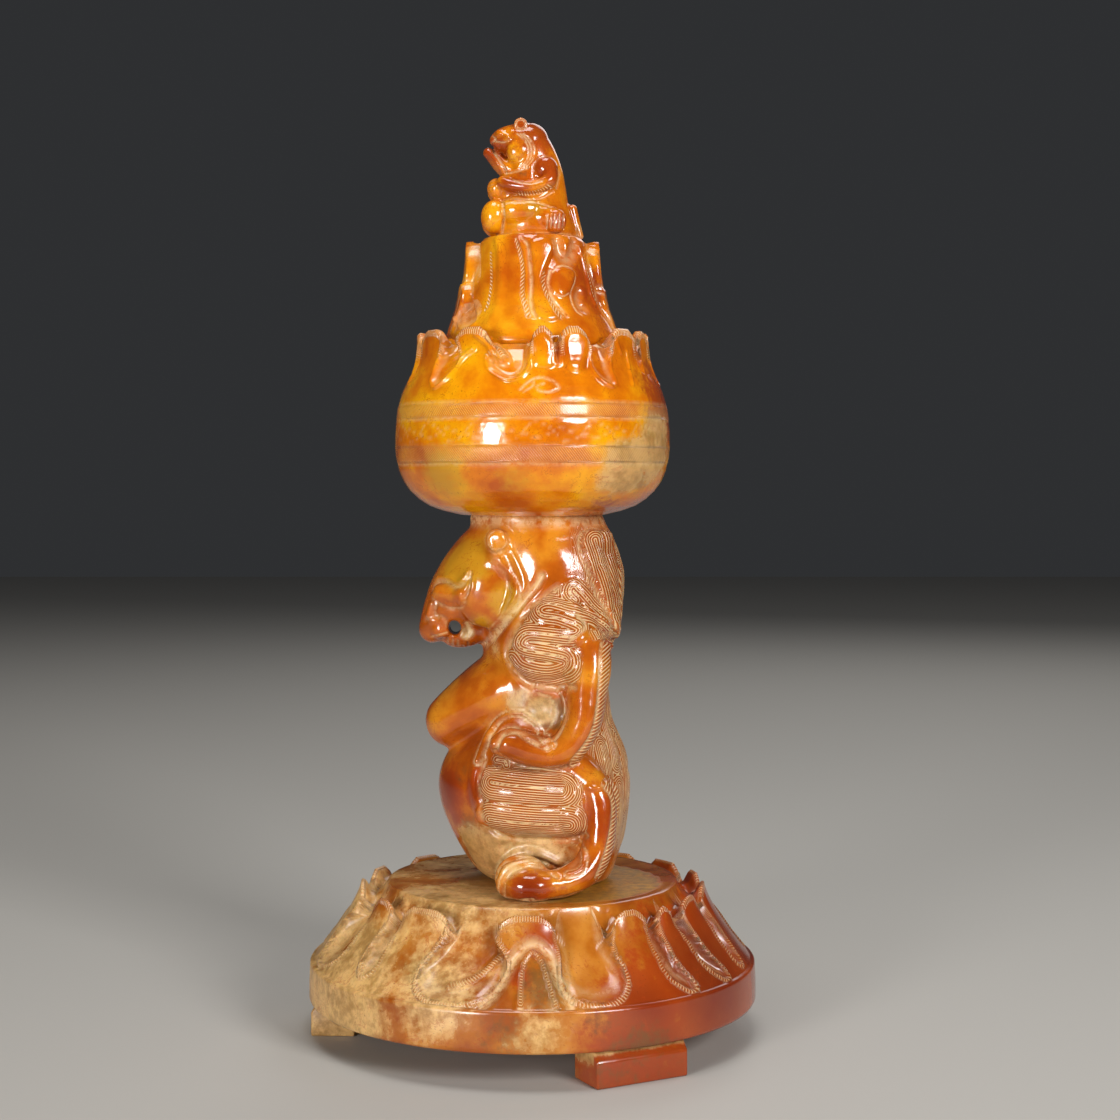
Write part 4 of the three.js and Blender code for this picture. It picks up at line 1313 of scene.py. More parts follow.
# %% Bear: stains
mirrored = np.stack([points[:, 0], -np.abs(points[:, 1]), points[:, 2]], axis=1)
bear_olive = stain(mirrored, [
    (-20, -13, 150, 12, 0.9), (-8, -18, 139, 9, 0.75), (-14, -15, 160, 8, 0.5), (-16, -16, 132, 7, 0.6),
    (-18, -14, 90, 8, 0.35), (24, -20, 56, 10, 0.5),
])
bear_russet = stain(mirrored, [
    (-33, -3, 133, 8, 0.45), (25, -20, 126, 8, 0.75), (-26, -12, 78, 12, 0.9), (-17, -22, 80, 9, 0.75),
    (-24, -14, 70, 9, 0.7), (26, -10, 84, 16, 0.5), (22, -28, 72, 13, 0.75), (22, -26, 60, 9, 0.6),
    (-1, -41, 52, 8, 1.0), (9, -36, 52, 7, 0.6), (8, -30, 134, 9, 0.35), (0, -30, 76, 13, 0.35),
    (20, -20, 152, 8, 0.3), (8, -22, 152, 6, 0.3), (22, -26, 104, 8, 0.3),
])
bear_crust = stain(mirrored, [
    (-14, -19, 57, 14, 1.1), (0, -27, 61, 10, 0.9), (9, -27, 60, 7, 0.7), (-4, -24, 108, 7, 0.7),
    (1, -24, 105, 8, 0.8), (-6, 0, 52, 20, 0.6), (28, 0, 142, 16, 0.55), (29, -6, 66, 18, 0.65),
    (27, -14, 88, 10, 0.5), (-14, -16, 125, 6, 0.6), (-21, -8, 128, 3.5, 0.9), (-6, -36, 58, 5, 0.5),
    (26, -8, 110, 14, 0.5), (28, -14, 150, 8, 0.5),
])
bear_brown = stain(mirrored, [
    (5, -24, 104, 6, 1.1), (-8, -26, 108, 8, 0.5), (6, -29, 64, 5, 0.6), (-20, -20, 68, 7, 0.6),
    (-21, -16, 84, 8, 0.5), (0, -16, 164, 14, 0.35),
])
in_armpit = 0.9 * ease((1.25 - armpit) / 0.4) * (np.abs(points[:, 1]) > 15)
keep_stains(
    mesh, unpolished=in_armpit, olive=bear_olive, russet=bear_russet, crust=bear_crust, brown=bear_brown,
)
bear = as_piece("squatting_bear", mesh, "bear_and_bowl")

# %% [markdown]
# ## Lid
#
# The lid is a steep mountain. It is turned with a rounded foot, and a short tongue under it drops
# into the bowl's mouth. Tall leaf-like peaks stand out at its sides. The face that the camera sees is
# gentler: a smooth panel, a leaf and a domed egg, with lines of short cuts between them.

# %% Lid: profile
LID_CORE = [
    (28.0, LID_BOTTOM), (28.5, 220.6), (28.4, 222), (27.6, 224), (26.5, 226), (24.9, 229), (23.2, 232),
    (21.6, 236), (20.4, 240), (19.3, 244), (18.5, 248), (17.8, 252), (17.2, 253.8), (16.2, LID_TOP - 0.5),
]
LID_UNROLL = 20.0
LID_COLUMNS = 400
core = spaced(LID_CORE, 0.36)
inner = spaced([(0, 243), (8, 241.5), (15, 234), (20, 222), (20.5, TONGUE_BOTTOM)], 3.0)
tongue = spaced([(24.2, TONGUE_BOTTOM), (24.7, TONGUE_BOTTOM + 0.5), (24.7, LID_BOTTOM)], 1.2)
top = spaced([(15, LID_TOP), (0, LID_TOP + 0.5)], 1.6)
rows = np.vstack([inner, tongue, core, top])
core_start = len(inner) + len(tongue)
core_end = core_start + len(core)
print("lid rings", len(rows))

# %% [markdown]
# ## Lid: peaks at its sides and back
#
# Each peak is an arch that leans away from the cone: the higher a point lies in it, the further it
# stands out. A shallow cut frees its edge, and those at the back carry short cuts along it.

# %% Lid: peaks
PEAK_FOOT = 223
# Azimuth, half width in degrees, height of the tip and how far it stands out
LID_PEAKS = [
    (-178, 26, 254, 4.0), (-138, 13, 240, 3.2), (-92, 22, 254, 4.2), (-76, 11, 240.6, 3.6),
    (92, 20, 254, 4.2), (82, 12, 239, 3.0), (136, 14, 242, 3.4),
]


def arch(azimuth, half, foot, tip):
    """The outline of a peak: narrow-waisted below, round above"""
    shape = [
        (-0.75, 0), (-0.7, 0.35), (-0.95, 0.68), (-0.72, 0.88), (0, 1), (0.72, 0.88), (0.95, 0.68),
        (0.7, 0.35), (0.75, 0),
    ]
    return [(azimuth + u * half, foot + v * (tip - foot)) for u, v in shape]


def on_lid(stops):
    return [(math.radians(a) * LID_UNROLL, z) for a, z in stops]


mesh, ring, azimuth = turned_skin(len(rows), LID_COLUMNS)
flat = unrolled(azimuth, rows[ring][:, 1], LID_UNROLL)
on_cone = ((ring >= core_start) & (ring < core_end)).astype(float)
lid_carving = Carving(flat, on_cone)
out = np.zeros(len(flat))
for centre, half, tip, reach in LID_PEAKS:
    for turned_centre in (centre - 360, centre, centre + 360):
        if abs(turned_centre) > 210:
            continue
        stops = on_lid(arch(turned_centre, half, PEAK_FOOT, tip))
        path = smooth_path(stops, closed=True)
        away = nearest_on(path, flat)[0]
        signed = np.where(inside(path[:-1], flat), away, -away)
        above_foot = flat[:, 1] - PEAK_FOOT
        rise = np.clip(above_foot / (tip - PEAK_FOOT), 0, 1) ** 0.8
        out = np.maximum(out, reach * rise * ease(0.5 + signed / 1.1) * on_cone)
        out -= 0.35 * ease(1 - np.abs(signed + 0.9) / 0.9) * ease((above_foot - 1) / 3) * on_cone
        dusty_edge = 0.5 * ease(1 - np.abs(signed + 0.9) / 0.8) * on_cone * ease(above_foot / 3)
        lid_carving.dust = np.maximum(lid_carving.dust, dusty_edge)
        if abs(centre) > 100:
            lid_carving.hatch(stops, 1.0, 1.1, lean=0.6)
print("peaks stand out", round(out.max(), 2), "mm at most")

# %% [markdown]
# ## Lid: the face towards the camera
#
# A smooth panel comes first, then a leaf, a domed egg, and scoops beside them. The areas are plates left
# standing or scooped out. Their edges carry short slanted cuts, like a twisted cord.

# %% Lid: panel, leaf, egg and scoops
PANEL_EDGE = [
    (-17.2, 253.3), (-11.2, 247.5), (-8.8, 242.6), (-8.8, 238.1), (-7.7, 234.4), (-3.7, 229.8), (-2.7, 228.2),
]
LEAF_SIDE = [(10.4, 242.2), (8.9, 239.7), (10.6, 236.5), (14.1, 233.2), (17.2, 230.3), (19.9, 227.9)]
LEAF_CUT = [
    (-11.9, 253.6), (-5.1, 251.2), (-3.1, 246.7), (-1.8, 242.6), (-1.1, 238.5), (-1.6, 234.4), (-0.5, 230.6),
    (1.8, 228.2),
]
LEAF = [
    (-3.3, 252.2), (3.9, 253.9), (13.2, 254.3), (21.2, 252.5), (22.7, 250.1), (18.8, 247.6), (14.4, 244.7),
    (11, 242), (9.6, 239.7), (11, 236.5), (14.4, 233.2), (17.4, 230.3), (20, 227.9), (12, 226.6),
    (5, 227.2), (2, 228.6), (0.6, 231), (0, 234.4), (0.5, 238.5), (-0.2, 242.6), (-1.4, 246.7),
]
EGG = [
    (18.9, 242.7), (23.2, 244.2), (31.6, 244.9), (40.2, 244.1), (42.9, 242.3), (40.3, 239.8), (35.5, 237),
    (31, 235.4), (24.5, 234.4), (18.6, 235.6), (16.8, 238.6),
]
EGG_TAIL = [
    (18.9, 242.7), (23.2, 244.2), (31.6, 244.9), (40.2, 244.1), (42.9, 242.3), (40.3, 239.8), (35, 237.2),
    (33.1, 235.1), (33.2, 232.6), (35.1, 230.2), (38.7, 229),
]
lid_carving.ridge(
    on_lid([(-42.2, 254.6), (-34.8, 249.1), (-29.7, 240.8), (-28.2, 235), (-28.8, 229.2), (-33.1, 225.2)]),
    2.4, 0.5,
)
lid_carving.hatch(
    on_lid([(-46.8, 249.4), (-42.9, 244.4), (-39.3, 239.4), (-38.1, 234.8), (-38.1, 230.7)]), 1.2, 0.6,
    lean=-1.0,
)
lid_carving.hatch(on_lid(PANEL_EDGE), 1.25, 0.75, lean=1.0)
lid_carving.ridge(on_lid([(-13.4, 253), (-7.6, 248.6), (-5.6, 243), (-5, 238.5), (-4.4, 234)]), 1.1, 0.5)
lid_carving.plate(on_lid(LEAF), 1.1, 2.0)
lid_carving.groove(on_lid(LEAF_CUT), 1.0, 0.9)
lid_carving.hatch(on_lid(LEAF_SIDE), 1.25, 0.8, lean=1.0)
lid_carving.groove(
    on_lid([(16.6, 243.1), (14.1, 239.8), (15, 236.5), (17.3, 233.2), (21.4, 230.8), (25.1, 228.4)]), 1.0,
    0.9,
)
lid_carving.groove(on_lid([(27, 252.5), (29, 249), (36, 247.2), (44, 249), (50, 252.6)]), 3.4, 1.3, 0.4)
lid_carving.plate(on_lid(EGG), 1.2, 2.4)
lid_carving.groove(on_lid(EGG_TAIL), 0.5, 0.3, 0.95)
lid_carving.groove(on_lid([(18.6, 235.5), (24.5, 234.8), (31.1, 235.9)]), 0.4, 0.2)
lid_carving.groove(on_lid([(43.5, 236.9), (39.8, 234.4), (40.4, 231.9), (43.6, 230.9)]), 2.2, 0.9, 0.3)
lid_carving.ridge(on_lid([(54.6, 251.6), (59, 247.7), (60, 242.5), (59, 237.5), (60.6, 233.4)]), 1.2, 0.7)
lid_carving.hatch(
    on_lid([(63, 249), (65.6, 244), (64.9, 239.3), (64.5, 236), (65.8, 233.9)]), 1.1, 0.6, lean=0.8,
)
lid_carving.groove(on_lid([(-80, 252.6), (-71, 249.4), (-64.7, 245), (-60.8, 241.6)]), 1.8, 1.0, 0.7)
LEFT_SCOOP = [
    (-66, 236.6), (-58.6, 234.2), (-52, 231.6), (-46, 229.2), (-45.5, 226.8), (-50.3, 225.8), (-58, 227),
    (-65, 230.4), (-68, 233.6),
]
lid_carving.plate(on_lid(LEFT_SCOOP), -1.7, 1.9)
lid_carving.leave_dust(np.flatnonzero(np.hypot((azimuth + 57) / 15, (flat[:, 1] - 229.6) / 5) < 1), 0.35)
lid_carving.ridge(on_lid([(-72, 229.2), (-60, 225.8), (-50.3, 224.8), (-44, 226.2)]), 0.9, 0.6)
lid_carving.groove(on_lid([(75.5, 252.7), (80, 249.5), (79, 244.5), (79, 240)]), 1.2, 0.8)
print("deepest cut on the lid", round(lid_carving.lift.min(), 2), "mm")

# %% [markdown]
# Behind the tips of the tall peaks the stone is notched, and the tips are drawn up a little, so that they
# stand free against the light.

# %% Lid: tips, and the points are moved
radius = rows[ring][:, 0] + out + lid_carving.lift
height = rows[ring][:, 1].copy()
for centre, half, tip, _ in LID_PEAKS:
    if tip > 250:
        off = np.abs((azimuth - centre + 180) % 360 - 180) / half
        notch = ease(1 - off) * ease((rows[ring][:, 0] - 9) / 6) * (height > tip - 0.2) * (ring >= core_start)
        height -= 1.8 * notch
        height += 0.9 * ease(1 - off) * ease(1 - np.abs(height - tip + 0.6) / 1.2) * (out > 2)
put(mesh, ring_points(radius, azimuth, height))
keep_marks(mesh, lid_carving)
cone = mesh
print("cone vertices", len(cone.vertices))

# %% [markdown]
# ## Small bear on the lid
#
# It sits upright with its snout raised, its arms folded over its knees. It is modelled as the large
# one, only finer: a voxel of a third of a millimetre keeps the snout and paws crisp.

# %% Small bear: the forms
bm = bmesh.new()
stack(bm, [
    (LID_TOP - 1.2, -11.5, 14.2, 9.4), (258.5, -12, 14.0, 10.6), (263, -11.6, 12.8, 10.4),
    (267, -11.2, 11.6, 9.2), (272, -10.4, 10.8, 8.2), (278.7, -8.6, 9.4, 8.0), (285.5, -7, 6.6, 7.2),
    (290, -5.6, 3.6, 4.8), (292.6, -3.6, 0.6, 2.0),
], steps=4, around=40)
roll(
    bm,
    [
        (-1, 0, 286.6, 6.4, 7.2), (-5.4, 0, 287, 5.6, 6.8), (-9.2, 0, 287.4, 4.0, 5.2),
        (-12, 0, 287.3, 2.0, 3.4),
    ],
    both=False,
)
roll(
    bm,
    [
        (-7, 0, 277.6, 3.6, 5.4), (-10, 0, 279.4, 2.9, 4.6), (-12.2, 0, 281.4, 2.3, 3.8),
        (-14.4, 0, 283.2, 1.7, 3.0),
    ],
    both=False,
)
pair(bm, (-4.4, -5.0, 283), (4.2, 2.9, 4.3))
pair(bm, (-9.8, -3.7, 289), (2.2, 1.7, 1.3), 12)
ball(bm, (-7, 0, 270), (6, 7.6, 7))
pair(bm, (4.3, -6.8, 277.1), (3.9, 3.2, 4.0))
roll(bm, [
    (5.4, -7.8, 276, 2.6, 2.6), (5.2, -9.0, 273, 2.4, 2.6), (0.9, -9.6, 271.1, 2.1, 2.4),
    (-3.2, -9.2, 271, 2.0, 2.3), (-7.2, -8.0, 271.8, 2.0, 2.3), (-9.6, -6.4, 272.8, 2.0, 2.6),
])
pair(bm, (-11.6, -3.6, 271), (3.1, 3.6, 3.5))
pair(bm, (-3.6, -7, 263.6), (7.6, 4.8, 5.0))
pair(bm, (4, -7.4, 261.4), (5, 4, 4.4))
pair(bm, (-12.4, -4.8, 261.9), (4.3, 4.6, 5.5), 4)
pair(bm, (7.4, -9.6, 260), (3.5, 2.6, 4.0))
roll(bm, [(13.0, 0, 265, 1.5, 2.2), (14.0, 0, 260.6, 1.5, 2.2), (15.4, 0, 256.2, 1.2, 2.0)], both=False)
for ear_y in (-4.2, 4.2):
    ear = Matrix.Scale(MM, 4) @ Matrix.Translation((-3.8, ear_y, 291.6)) @ Matrix.Rotation(
        math.radians(90), 4, "X",
    )
    bmesh.ops.create_cone(bm, cap_ends=True, segments=24, radius1=2.2, radius2=2.2, depth=3.2, matrix=ear)
mesh = melted("small_bear", bm, 0.36, smoothing=3)
print("small bear vertices", len(mesh.vertices))

# %% [markdown]
# Its relief is the same as the large bear's in small: ring-shaped ears, three lines round the cheek, an
# open mouth, arms edged by short cuts, and claws.

# %% Small bear: relief
normal = normals(mesh)
points = places(mesh)
cub = from_the_side(points, normal)
cub.band(circle(-3.8, 291.6, 1.7), 0.6, 0.25, 0.3, 0.25, closed=True)
CHEEK = [(-2.9, 288.4), (-0.3, 285.8), (0.8, 282.8), (0.1, 279.9), (-2.2, 277.4)]
for inset in (0, 1.0, 2.0):
    cub.groove([(x - inset, z) for x, z in CHEEK], 0.45, 0.35, 0.8)
cub.groove([(-12, 286.4), (-9.6, 285.8), (-7.6, 286.2)], 0.45, 0.4)
cub.ridge([(-12.2, 288), (-9.8, 288.6), (-7.4, 287.4)], 0.7, 0.35)
cub.groove([(-14.2, 285.4), (-12.7, 283.9), (-10.8, 280.4), (-8.9, 276.7)], 0.9, 1.1)
cub.groove([(-12.9, 288.4), (-12, 287), (-13.2, 286)], 0.5, 0.4)
cub.ridge([(-13.4, 286.6), (-11.6, 285.2), (-10.2, 282.6)], 0.8, 0.35)
cub.groove([(-8.6, 275.9), (-5.1, 276.3), (-1.5, 277.2)], 0.6, 0.5)
cub.groove([(0.2, 274), (0.6, 278.6), (3.4, 281), (7, 280.2), (8.8, 276.4), (7.8, 271)], 0.6, 0.5, 0.4)
cub.groove([(-6.2, 273.4), (-3.8, 272.2), (-0.3, 271.8), (3.2, 272.6)], 0.6, 0.5)
cub.hatch([(5.9, 270.6), (3, 268.9), (-0.9, 268), (-5, 268.2)], 0.95, 1.4, lean=0.5, side=-1)
cub.groove([(6.4, 269.4), (3, 267.4), (-0.9, 266.8), (-6, 267.2), (-10, 267)], 0.6, 0.5, 0.5)
cub.groove([(-9.8, 265.4), (-3.8, 265.8), (2.1, 265.6), (6, 264.4)], 0.6, 0.4)
cub.groove([(-9.6, 266), (-9.2, 261), (-9.8, 256.6)], 0.7, 0.6)
for claw in range(5):
    x = 4.8 + 1.3 * claw
    cub.groove([(x - 0.3, 257.6), (x, 261.8)], 0.5, 0.5, 0.7)
for knuckle in range(3):
    cub.groove([(-12.2 - 0.4 * knuckle, 273.6 - 1.5 * knuckle), (-14.8, 273 - 1.5 * knuckle)], 0.4, 0.4, 0.3)
cub.dust = np.maximum(cub.dust, 0.8 * ease(1 - (points[:, 2] - LID_TOP) / 1.4))
put(mesh, points + normal * cub.lift[:, None])
keep_marks(mesh, cub)
print("deepest cut on the small bear", round(cub.lift.min(), 2), "mm")

# %% [markdown]
# ## Lid: one stone
#
# The cone and its bear are joined in one mesh, since they are cut from one stone. Russet lies on the
# bear's head and arms, and the scoops of the cone keep brown earth.

# %% Lid: joined and stained
bm = bmesh.new()
bm.from_mesh(cone)
bm.from_mesh(mesh)
bm.to_mesh(cone)
bm.free()
points = places(cone)
lid_russet = stain(points, [
    (22, -12, 240, 15, 0.75), (20, -10, 226, 12, 0.5), (-24, -4, 232, 13, 0.55), (-22, 0, 250, 8, 0.5),
    (0, -2, 289, 11, 0.9), (-12, -3, 284, 8, 0.75), (5, -8, 277, 8, 0.8), (-6, -9, 272, 8, 0.75),
    (8, -10, 260, 4, 0.9), (24, 0, 250, 9, 0.6), (0, 20, 240, 26, 0.6), (12, 0, 272, 7, 0.5),
])
keep_stains(
    cone,
    olive=stain(points, [(0, -10, 264, 7, 0.6), (-12, -8, 262, 4, 0.4), (-14, -20, 240, 9, 0.35)]),
    russet=lid_russet,
    crust=stain(points, [(14, 0, 258, 3.5, 0.8), (-20, -12, 228, 4, 0.5), (14, -14, 246, 4, 0.4)]),
    brown=stain(points, [(14, -15, 247, 5, 0.5), (-21, -13, 230, 4, 0.4), (-3, -8, 275, 3, 0.5)]),
)
lid = as_piece("mountain_lid", cone, "lid")

# %% [markdown]
# ## Polished nephrite
#
# The stone is nephrite, the tough felted jade, here honey-coloured with russet skin. It was ground, then
# rubbed with ever finer sand, so it has a waxy gloss, and light goes a millimetre or two in. Its
# refractive index is 1.61. Years in the ground gave it a tan crust, brown clouds and pale dust in every
# cut. The recipe is layered: honey tones by slow clouds, then olive, russet, brown and crust where the
# stains say, then dust in the cuts, then the wheel lines.
#
# First the small tools. Colours are written as seen on a screen and turned to linear light. `add` makes
# one node with its settings and links, and gives back the output that the next one needs.

# %% Colours and nodes
def linear(code):
    """A colour as hex, as seen on a screen, turned into linear light"""
    channels = [int(code[i : i + 2], 16) / 255 for i in (1, 3, 5)]
    return (*[c / 12.92 if c <= 0.04045 else ((c + 0.055) / 1.055) ** 2.4 for c in channels], 1)


def add(tree, kind, inputs=(), output=0, **settings):
    """One node. Its inputs come in a row or by key: a socket is linked, and a value is set"""
    node = tree.nodes.new("ShaderNode" + kind)
    for name, value in settings.items():
        setattr(node, name, value)
    for key, value in inputs.items() if isinstance(inputs, dict) else enumerate(inputs):
        if isinstance(value, bpy.types.NodeSocket):
            tree.links.new(value, node.inputs[key])
        else:
            node.inputs[key].default_value = value
    return node.outputs[output] if node.outputs else None


def over(tree, colour, amount, strength, tone):
    """A tone laid over a colour"""
    share = add(tree, "Math", (amount, strength), operation="MULTIPLY")
    return add(tree, "Mix", {0: share, 6: colour, 7: tone}, 2, data_type="RGBA")


def mixed(tree, a, b, share):
    """Two kinds of clouds together"""
    first = add(tree, "Math", (a, share), operation="MULTIPLY")
    second = add(tree, "Math", (b, 1 - share), operation="MULTIPLY")
    return add(tree, "Math", (first, second), operation="ADD")


print("honey in linear light", [round(c, 3) for c in linear("#D0821C")[:3]])

# %% [markdown]
# ## Clouds
#
# Noise gives the clouds of the stone at four sizes, from 34 mm drifts to 0.8 mm grains, and a fifth one
# for the veins. `patchy` joins a stain with clouds: the stain alone would be a smooth blot, but where
# the two together are strong its edge becomes ragged, as iron creeps into real jade. A Map Range node
# set to a smooth step, from one value to another, gives every soft edge.

# %% Clouds and ragged stains
# Size in millimetres, detail, roughness and distortion
CLOUDS = {
    "broad": (34, 2, 0.55, 0.8), "mottle": (9, 4, 0.55, 0), "fine": (2.4, 4, 0.65, 0),
    "grains": (0.8, 3, 0.7, 0), "veins": (21, 5, 0.6, 1.6),
}
SOFT = {"interpolation_type": "SMOOTHSTEP"}


def clouds_of(tree, where):
    clouds = {}
    for name, (size_mm, detail, roughness, distortion) in CLOUDS.items():
        clouds[name] = add(tree, "TexNoise", {
            "Vector": where, "Scale": 1 / (size_mm * MM), "Detail": detail, "Roughness": roughness,
            "Distortion": distortion,
        })
    clouds["ragged"] = mixed(tree, clouds["mottle"], clouds["fine"], 0.55)
    return clouds


def patchy(tree, stained, clouds, firmness):
    """A stain with a ragged edge: it shows where the stain and the clouds together are strong"""
    swing = add(tree, "Math", (clouds, 0.5), operation="SUBTRACT")
    swing = add(tree, "Math", (swing, firmness), operation="MULTIPLY")
    together = add(tree, "Math", (stained, swing), operation="ADD")
    ragged = add(tree, "MapRange", (together, 0.34, 0.66), **SOFT)
    reach = add(tree, "MapRange", (stained, 0.04, 0.16), **SOFT)
    return add(tree, "Math", (ragged, reach), operation="MULTIPLY")


print("kinds of clouds", len(CLOUDS))

# %% [markdown]
# ## The colour of the stone
#
# Honey, olive, russet, brown earth and crust lie over each other, in the order in which they came to
# the stone. Then come thin veins, which are where a distorted noise crosses its middle value, and
# small dark specks.

# %% Stone, stains, veins and specks
OLIVE, EARTH, SPECK, DUST = "#C08C1C", "#6B4A22", "#7A2A08", "#E6C690"
RUSSET = ("#A03C0C", "#701806")


def stone_colour(tree, clouds, marks, honey, crust):
    """The colour with its stains, and how much of it is crust"""
    colour = add(tree, "ValToRGB", [mixed(tree, clouds["broad"], clouds["mottle"], 0.6)])
    stops = colour.node.color_ramp.elements
    stops[0].position, stops[0].color = 0.39, linear(honey[0])
    stops[1].position, stops[1].color = 0.61, linear(honey[2])
    stops.new(0.5).color = linear(honey[1])

    olive = patchy(tree, marks["olive"], clouds["ragged"], 0.6)
    colour = over(tree, colour, olive, 0.82, linear(OLIVE))
    red = patchy(tree, marks["russet"], clouds["ragged"], 1.3)
    deep = add(tree, "MapRange", (marks["russet"], 0.5, 1.05), **SOFT)
    colour = over(tree, colour, red, 0.9, over(tree, linear(RUSSET[0]), deep, 1.0, linear(RUSSET[1])))
    earth = patchy(tree, marks["brown"], clouds["fine"], 0.7)
    colour = over(tree, colour, earth, 0.75, linear(EARTH))
    drifts = mixed(tree, clouds["broad"], clouds["ragged"], 0.5)
    skin = patchy(tree, marks["crust"], drifts, 1.4)
    paler = add(tree, "MapRange", (clouds["ragged"], 0.38, 0.6), **SOFT)
    skin_tone = over(tree, linear(crust[0]), paler, 1.0, linear(crust[1]))
    return over(tree, colour, skin, 0.82, skin_tone), skin


def veins_and_specks(tree, clouds, colour):
    from_middle = add(tree, "Math", (clouds["veins"], 0.5), operation="SUBTRACT")
    from_middle = add(tree, "Math", [from_middle], operation="ABSOLUTE")
    veins = add(tree, "MapRange", (from_middle, 0.0, 0.012, 1.0, 0.0), **SOFT)
    broken = add(tree, "MapRange", (clouds["mottle"], 0.45, 0.6), **SOFT)
    veins = add(tree, "Math", (veins, broken), operation="MULTIPLY")
    colour = over(tree, colour, veins, 0.5, linear(RUSSET[0]))
    specks = add(tree, "MapRange", (clouds["grains"], 0.6, 0.68), **SOFT)
    gathered = add(tree, "MapRange", (clouds["mottle"], 0.42, 0.6), **SOFT)
    specks = add(tree, "Math", (specks, gathered), operation="MULTIPLY")
    return over(tree, colour, specks, 0.6, linear(SPECK))


# %% [markdown]
# ## Wheel lines and dust
#
# `line_count` grows by one from cut to cut, so its fraction runs from 0 to 1 between two cuts, and a
# cut lies where it is near 0 or 1. Where close cuts run, the ground between them is given a darker
# tone. Dust settles in the cuts, but not evenly.

# %% Wheel lines and dust
def wheel_lines(tree, clouds, marks, colour, between, depth):
    """The colour with its cuts, how deep each point lies in a cut, and where pale dust lies"""
    fraction = add(tree, "Math", [marks["line_count"]], operation="FRACT")
    from_middle = add(tree, "Math", (fraction, 0.5), operation="SUBTRACT")
    from_middle = add(tree, "Math", [from_middle], operation="ABSOLUTE")
    line = add(tree, "MapRange", (from_middle, 0.22, 0.4), **SOFT)
    line = add(tree, "Math", (line, marks["lined"]), operation="MULTIPLY")
    colour = over(tree, colour, marks["lined"], depth, linear(between))

    settled = add(tree, "MapRange", (clouds["fine"], 0.28, 0.6), **SOFT)
    dusty = add(tree, "Math", (marks["dust"], settled), operation="MULTIPLY")
    filled = add(tree, "MapRange", (clouds["mottle"], 0.3, 0.56, 0.6, 1.0), **SOFT)
    dusty_line = add(tree, "Math", (line, filled), operation="MULTIPLY")
    pale = add(tree, "Math", (dusty, dusty_line), operation="MAXIMUM", use_clamp=True)
    return over(tree, colour, pale, 0.8, linear(DUST)), line, pale


# %% [markdown]
# ## The whole stone
#
# The marks and stains stored on the mesh are read by name. Crust, dust and the unpolished hollow are
# dull. Three bumps follow: the wheel lines, a fine pitting that is strong where the stone is dull, and a
# slow waviness left by polishing by hand. A little subsurface light gives the waxy depth.

# %% Nephrite
MARKS = ("dust", "line_count", "lined", "unpolished", "olive", "russet", "crust", "brown")


def nephrite(name, honey, crust, polish, between, depth):
    """honey is three tones from deep to light; between is the tone of the stone between the wheel lines"""
    material = bpy.data.materials.new(name)
    material.use_nodes = True
    tree = material.node_tree
    tree.nodes.clear()
    marks = {mark: add(tree, "Attribute", output="Fac", attribute_name=mark) for mark in MARKS}
    clouds = clouds_of(tree, add(tree, "TexCoord", output="Object"))
    colour, skin = stone_colour(tree, clouds, marks, honey, crust)
    colour = veins_and_specks(tree, clouds, colour)
    colour, line, pale = wheel_lines(tree, clouds, marks, colour, between, depth)

    dull = add(tree, "Math", (skin, 0.7), operation="MULTIPLY")
    dull = add(tree, "Math", (dull, pale), operation="MAXIMUM")
    dull = add(tree, "Math", (dull, marks["unpolished"]), operation="MAXIMUM", use_clamp=True)
    gloss = add(tree, "MapRange", (clouds["mottle"], 0.3, 0.7, polish, polish + 0.07), **SOFT)
    duller = add(tree, "Math", (dull, 0.3), operation="MULTIPLY")
    roughness = add(tree, "Math", (gloss, duller), operation="ADD")

    pitting = add(tree, "Math", (dull, 0.9), operation="MULTIPLY")
    pitting = add(tree, "Math", (pitting, 0.06), operation="ADD")
    pits = add(tree, "Math", (clouds["grains"], pitting), operation="MULTIPLY")
    cut = add(tree, "Bump", {"Strength": 0.9, "Distance": 0.25 * MM, "Height": line}, invert=True)
    pitted = add(tree, "Bump", {"Strength": 0.5, "Distance": 0.14 * MM, "Height": pits, "Normal": cut})
    wavy = add(tree, "Bump", {
        "Strength": 0.3, "Distance": 0.5 * MM, "Height": clouds["mottle"], "Normal": pitted,
    })

    shader = add(tree, "BsdfPrincipled", {
        "Base Color": colour, "Roughness": roughness, "Normal": wavy, "IOR": 1.61,
        "Subsurface Weight": 0.18, "Subsurface Radius": (1.0, 0.42, 0.14), "Subsurface Scale": 2.2 * MM,
    })
    add(tree, "OutputMaterial", {"Surface": shader})
    return material


# %% [markdown]
# The three stones are one family but not one tone. The base is duller and browner, the bear is amber and
# russet, and the bowl and the lid are the clearest yellow.

# %% Materials on the pieces
# The base's crust is a real tan crust, but its tones are paler than on the other stones: painted highlight,
# where the left softbox falls on the base.
CRUST, PALE_CRUST_AND_HIGHLIGHT = ("#9C7C48", "#CDA468"), ("#A07C44", "#DDB474")
STONES = (
    (base, "russet_nephrite_base", ("#94480C", "#AE6418", "#C27E2C"), PALE_CRUST_AND_HIGHLIGHT, 0.16, "#A8601C", 0.35),
    (bear, "amber_nephrite", ("#984208", "#B65A0C", "#D0821C"), CRUST, 0.1, "#96440C", 0.6),
    (bowl, "honey_nephrite_bowl", ("#B45004", "#D27404", "#E69E06"), CRUST, 0.08, "#A8601C", 0.35),
    (lid, "honey_nephrite_lid", ("#B45206", "#D07608", "#E29A10"), CRUST, 0.09, "#A8601C", 0.35),
)
for piece, *recipe in STONES:
    piece.data.materials.append(nephrite(*recipe))
    print(piece.name, "is", recipe[0])

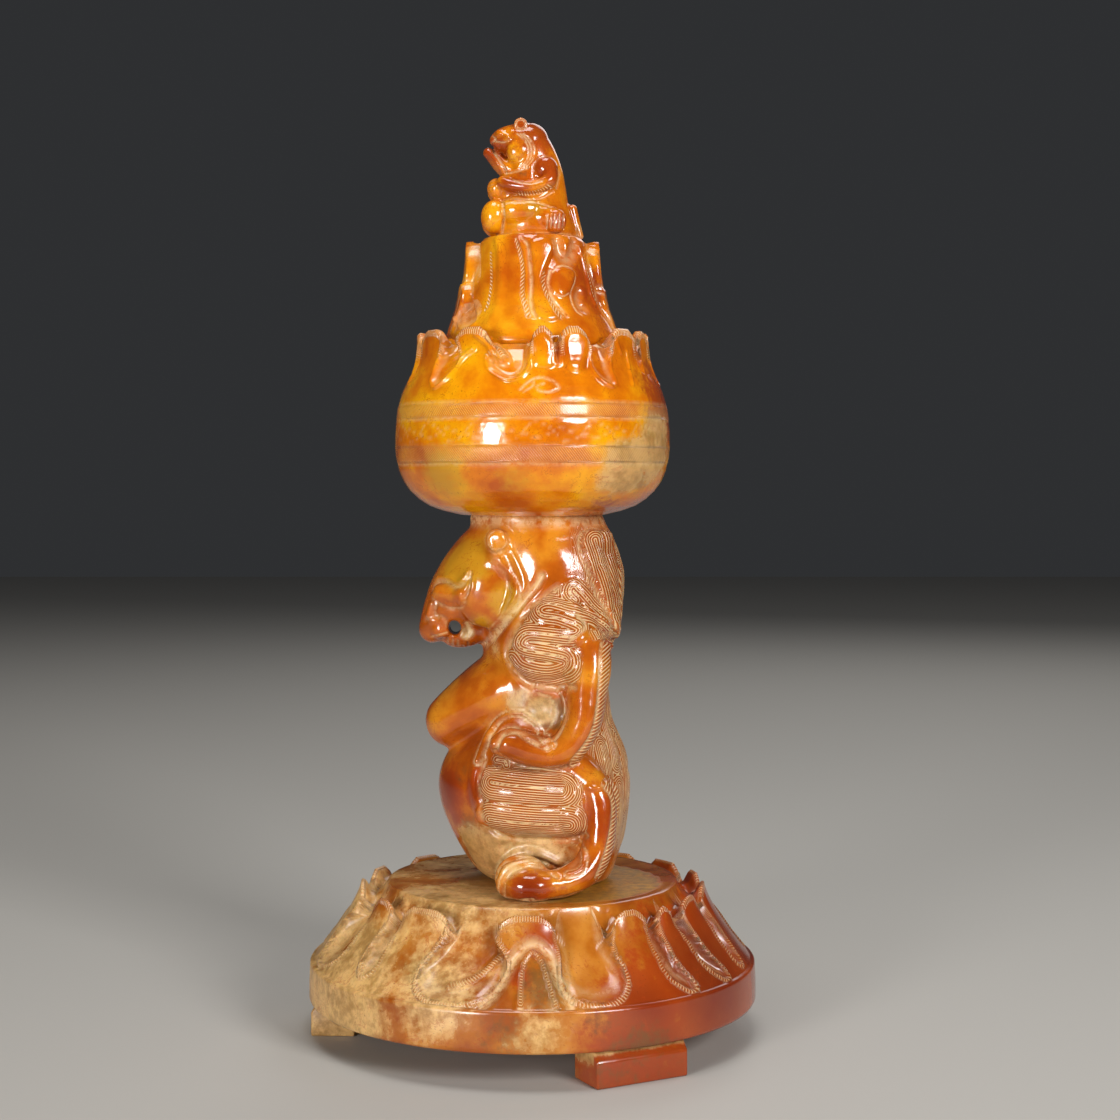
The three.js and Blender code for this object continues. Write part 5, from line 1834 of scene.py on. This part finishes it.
# %% [markdown]
# ## Studio
#
# Polished jade shows its form by what it mirrors, so the lights matter as much as the colours. Two
# softboxes stand to the left and right of the camera. Their places come from the two bright spots on
# the bowl: the ray from the camera is turned at the wall and followed back. Weaker lights above and
# behind, and a dim grey room, fill the rest. The floor is plain and pale.

# %% Floor, lights and room
bm = bmesh.new()
bmesh.ops.create_grid(bm, x_segments=1, y_segments=1, size=3.0)
floor_mesh = bpy.data.meshes.new("floor")
bm.to_mesh(floor_mesh)
bm.free()
floor = bpy.data.objects.new("floor", floor_mesh)
bpy.context.scene.collection.objects.link(floor)
floor_material = bpy.data.materials.new("pale_paper")
floor_material.use_nodes = True
paper = floor_material.node_tree.nodes["Principled BSDF"]
paper.inputs["Base Color"].default_value = linear("#B8B4AD")
paper.inputs["Roughness"].default_value = 0.7
floor_mesh.materials.append(floor_material)

BOWL_CENTRE = 0.19


def softbox(name, azimuth, elevation, distance, width, height, watts, round_face=False):
    """A soft light that looks at the bowl, placed by its direction as the bowl sees it"""
    light = bpy.data.lights.new(name, "AREA")
    light.shape = "ELLIPSE" if round_face else "RECTANGLE"
    light.size = width
    light.size_y = height
    light.energy = watts
    lamp = bpy.data.objects.new(name, light)
    a, e = math.radians(azimuth), math.radians(elevation)
    level = distance * math.cos(e)
    lamp.location = (level * math.sin(a), -level * math.cos(a), BOWL_CENTRE + distance * math.sin(e))
    lamp.rotation_euler = (math.radians(90) - e, 0, a)
    bpy.context.scene.collection.objects.link(lamp)


softbox("left_softbox", -33, 2.5, 1.3, 0.36, 0.36, 11, round_face=True)
softbox("right_softbox", 36, 19, 1.3, 0.44, 0.4, 14)
softbox("top_softbox", -20, 82, 1.1, 0.5, 0.5, 6)
softbox("back_softbox", 160, 35, 1.5, 0.7, 0.9, 4)

print("lights", len(bpy.data.lights))

world = bpy.data.worlds.new("grey_room")
bpy.context.scene.world = world
world.use_nodes = True
room = world.node_tree.nodes["Background"]
room.inputs["Color"].default_value = linear("#C4C8CE")
room.inputs["Strength"].default_value = 0.05

# %% [markdown]
# ## Finish
#
# The finished work must fill the same box as the imported model.

# %% Finish
bpy.context.view_layer.update()
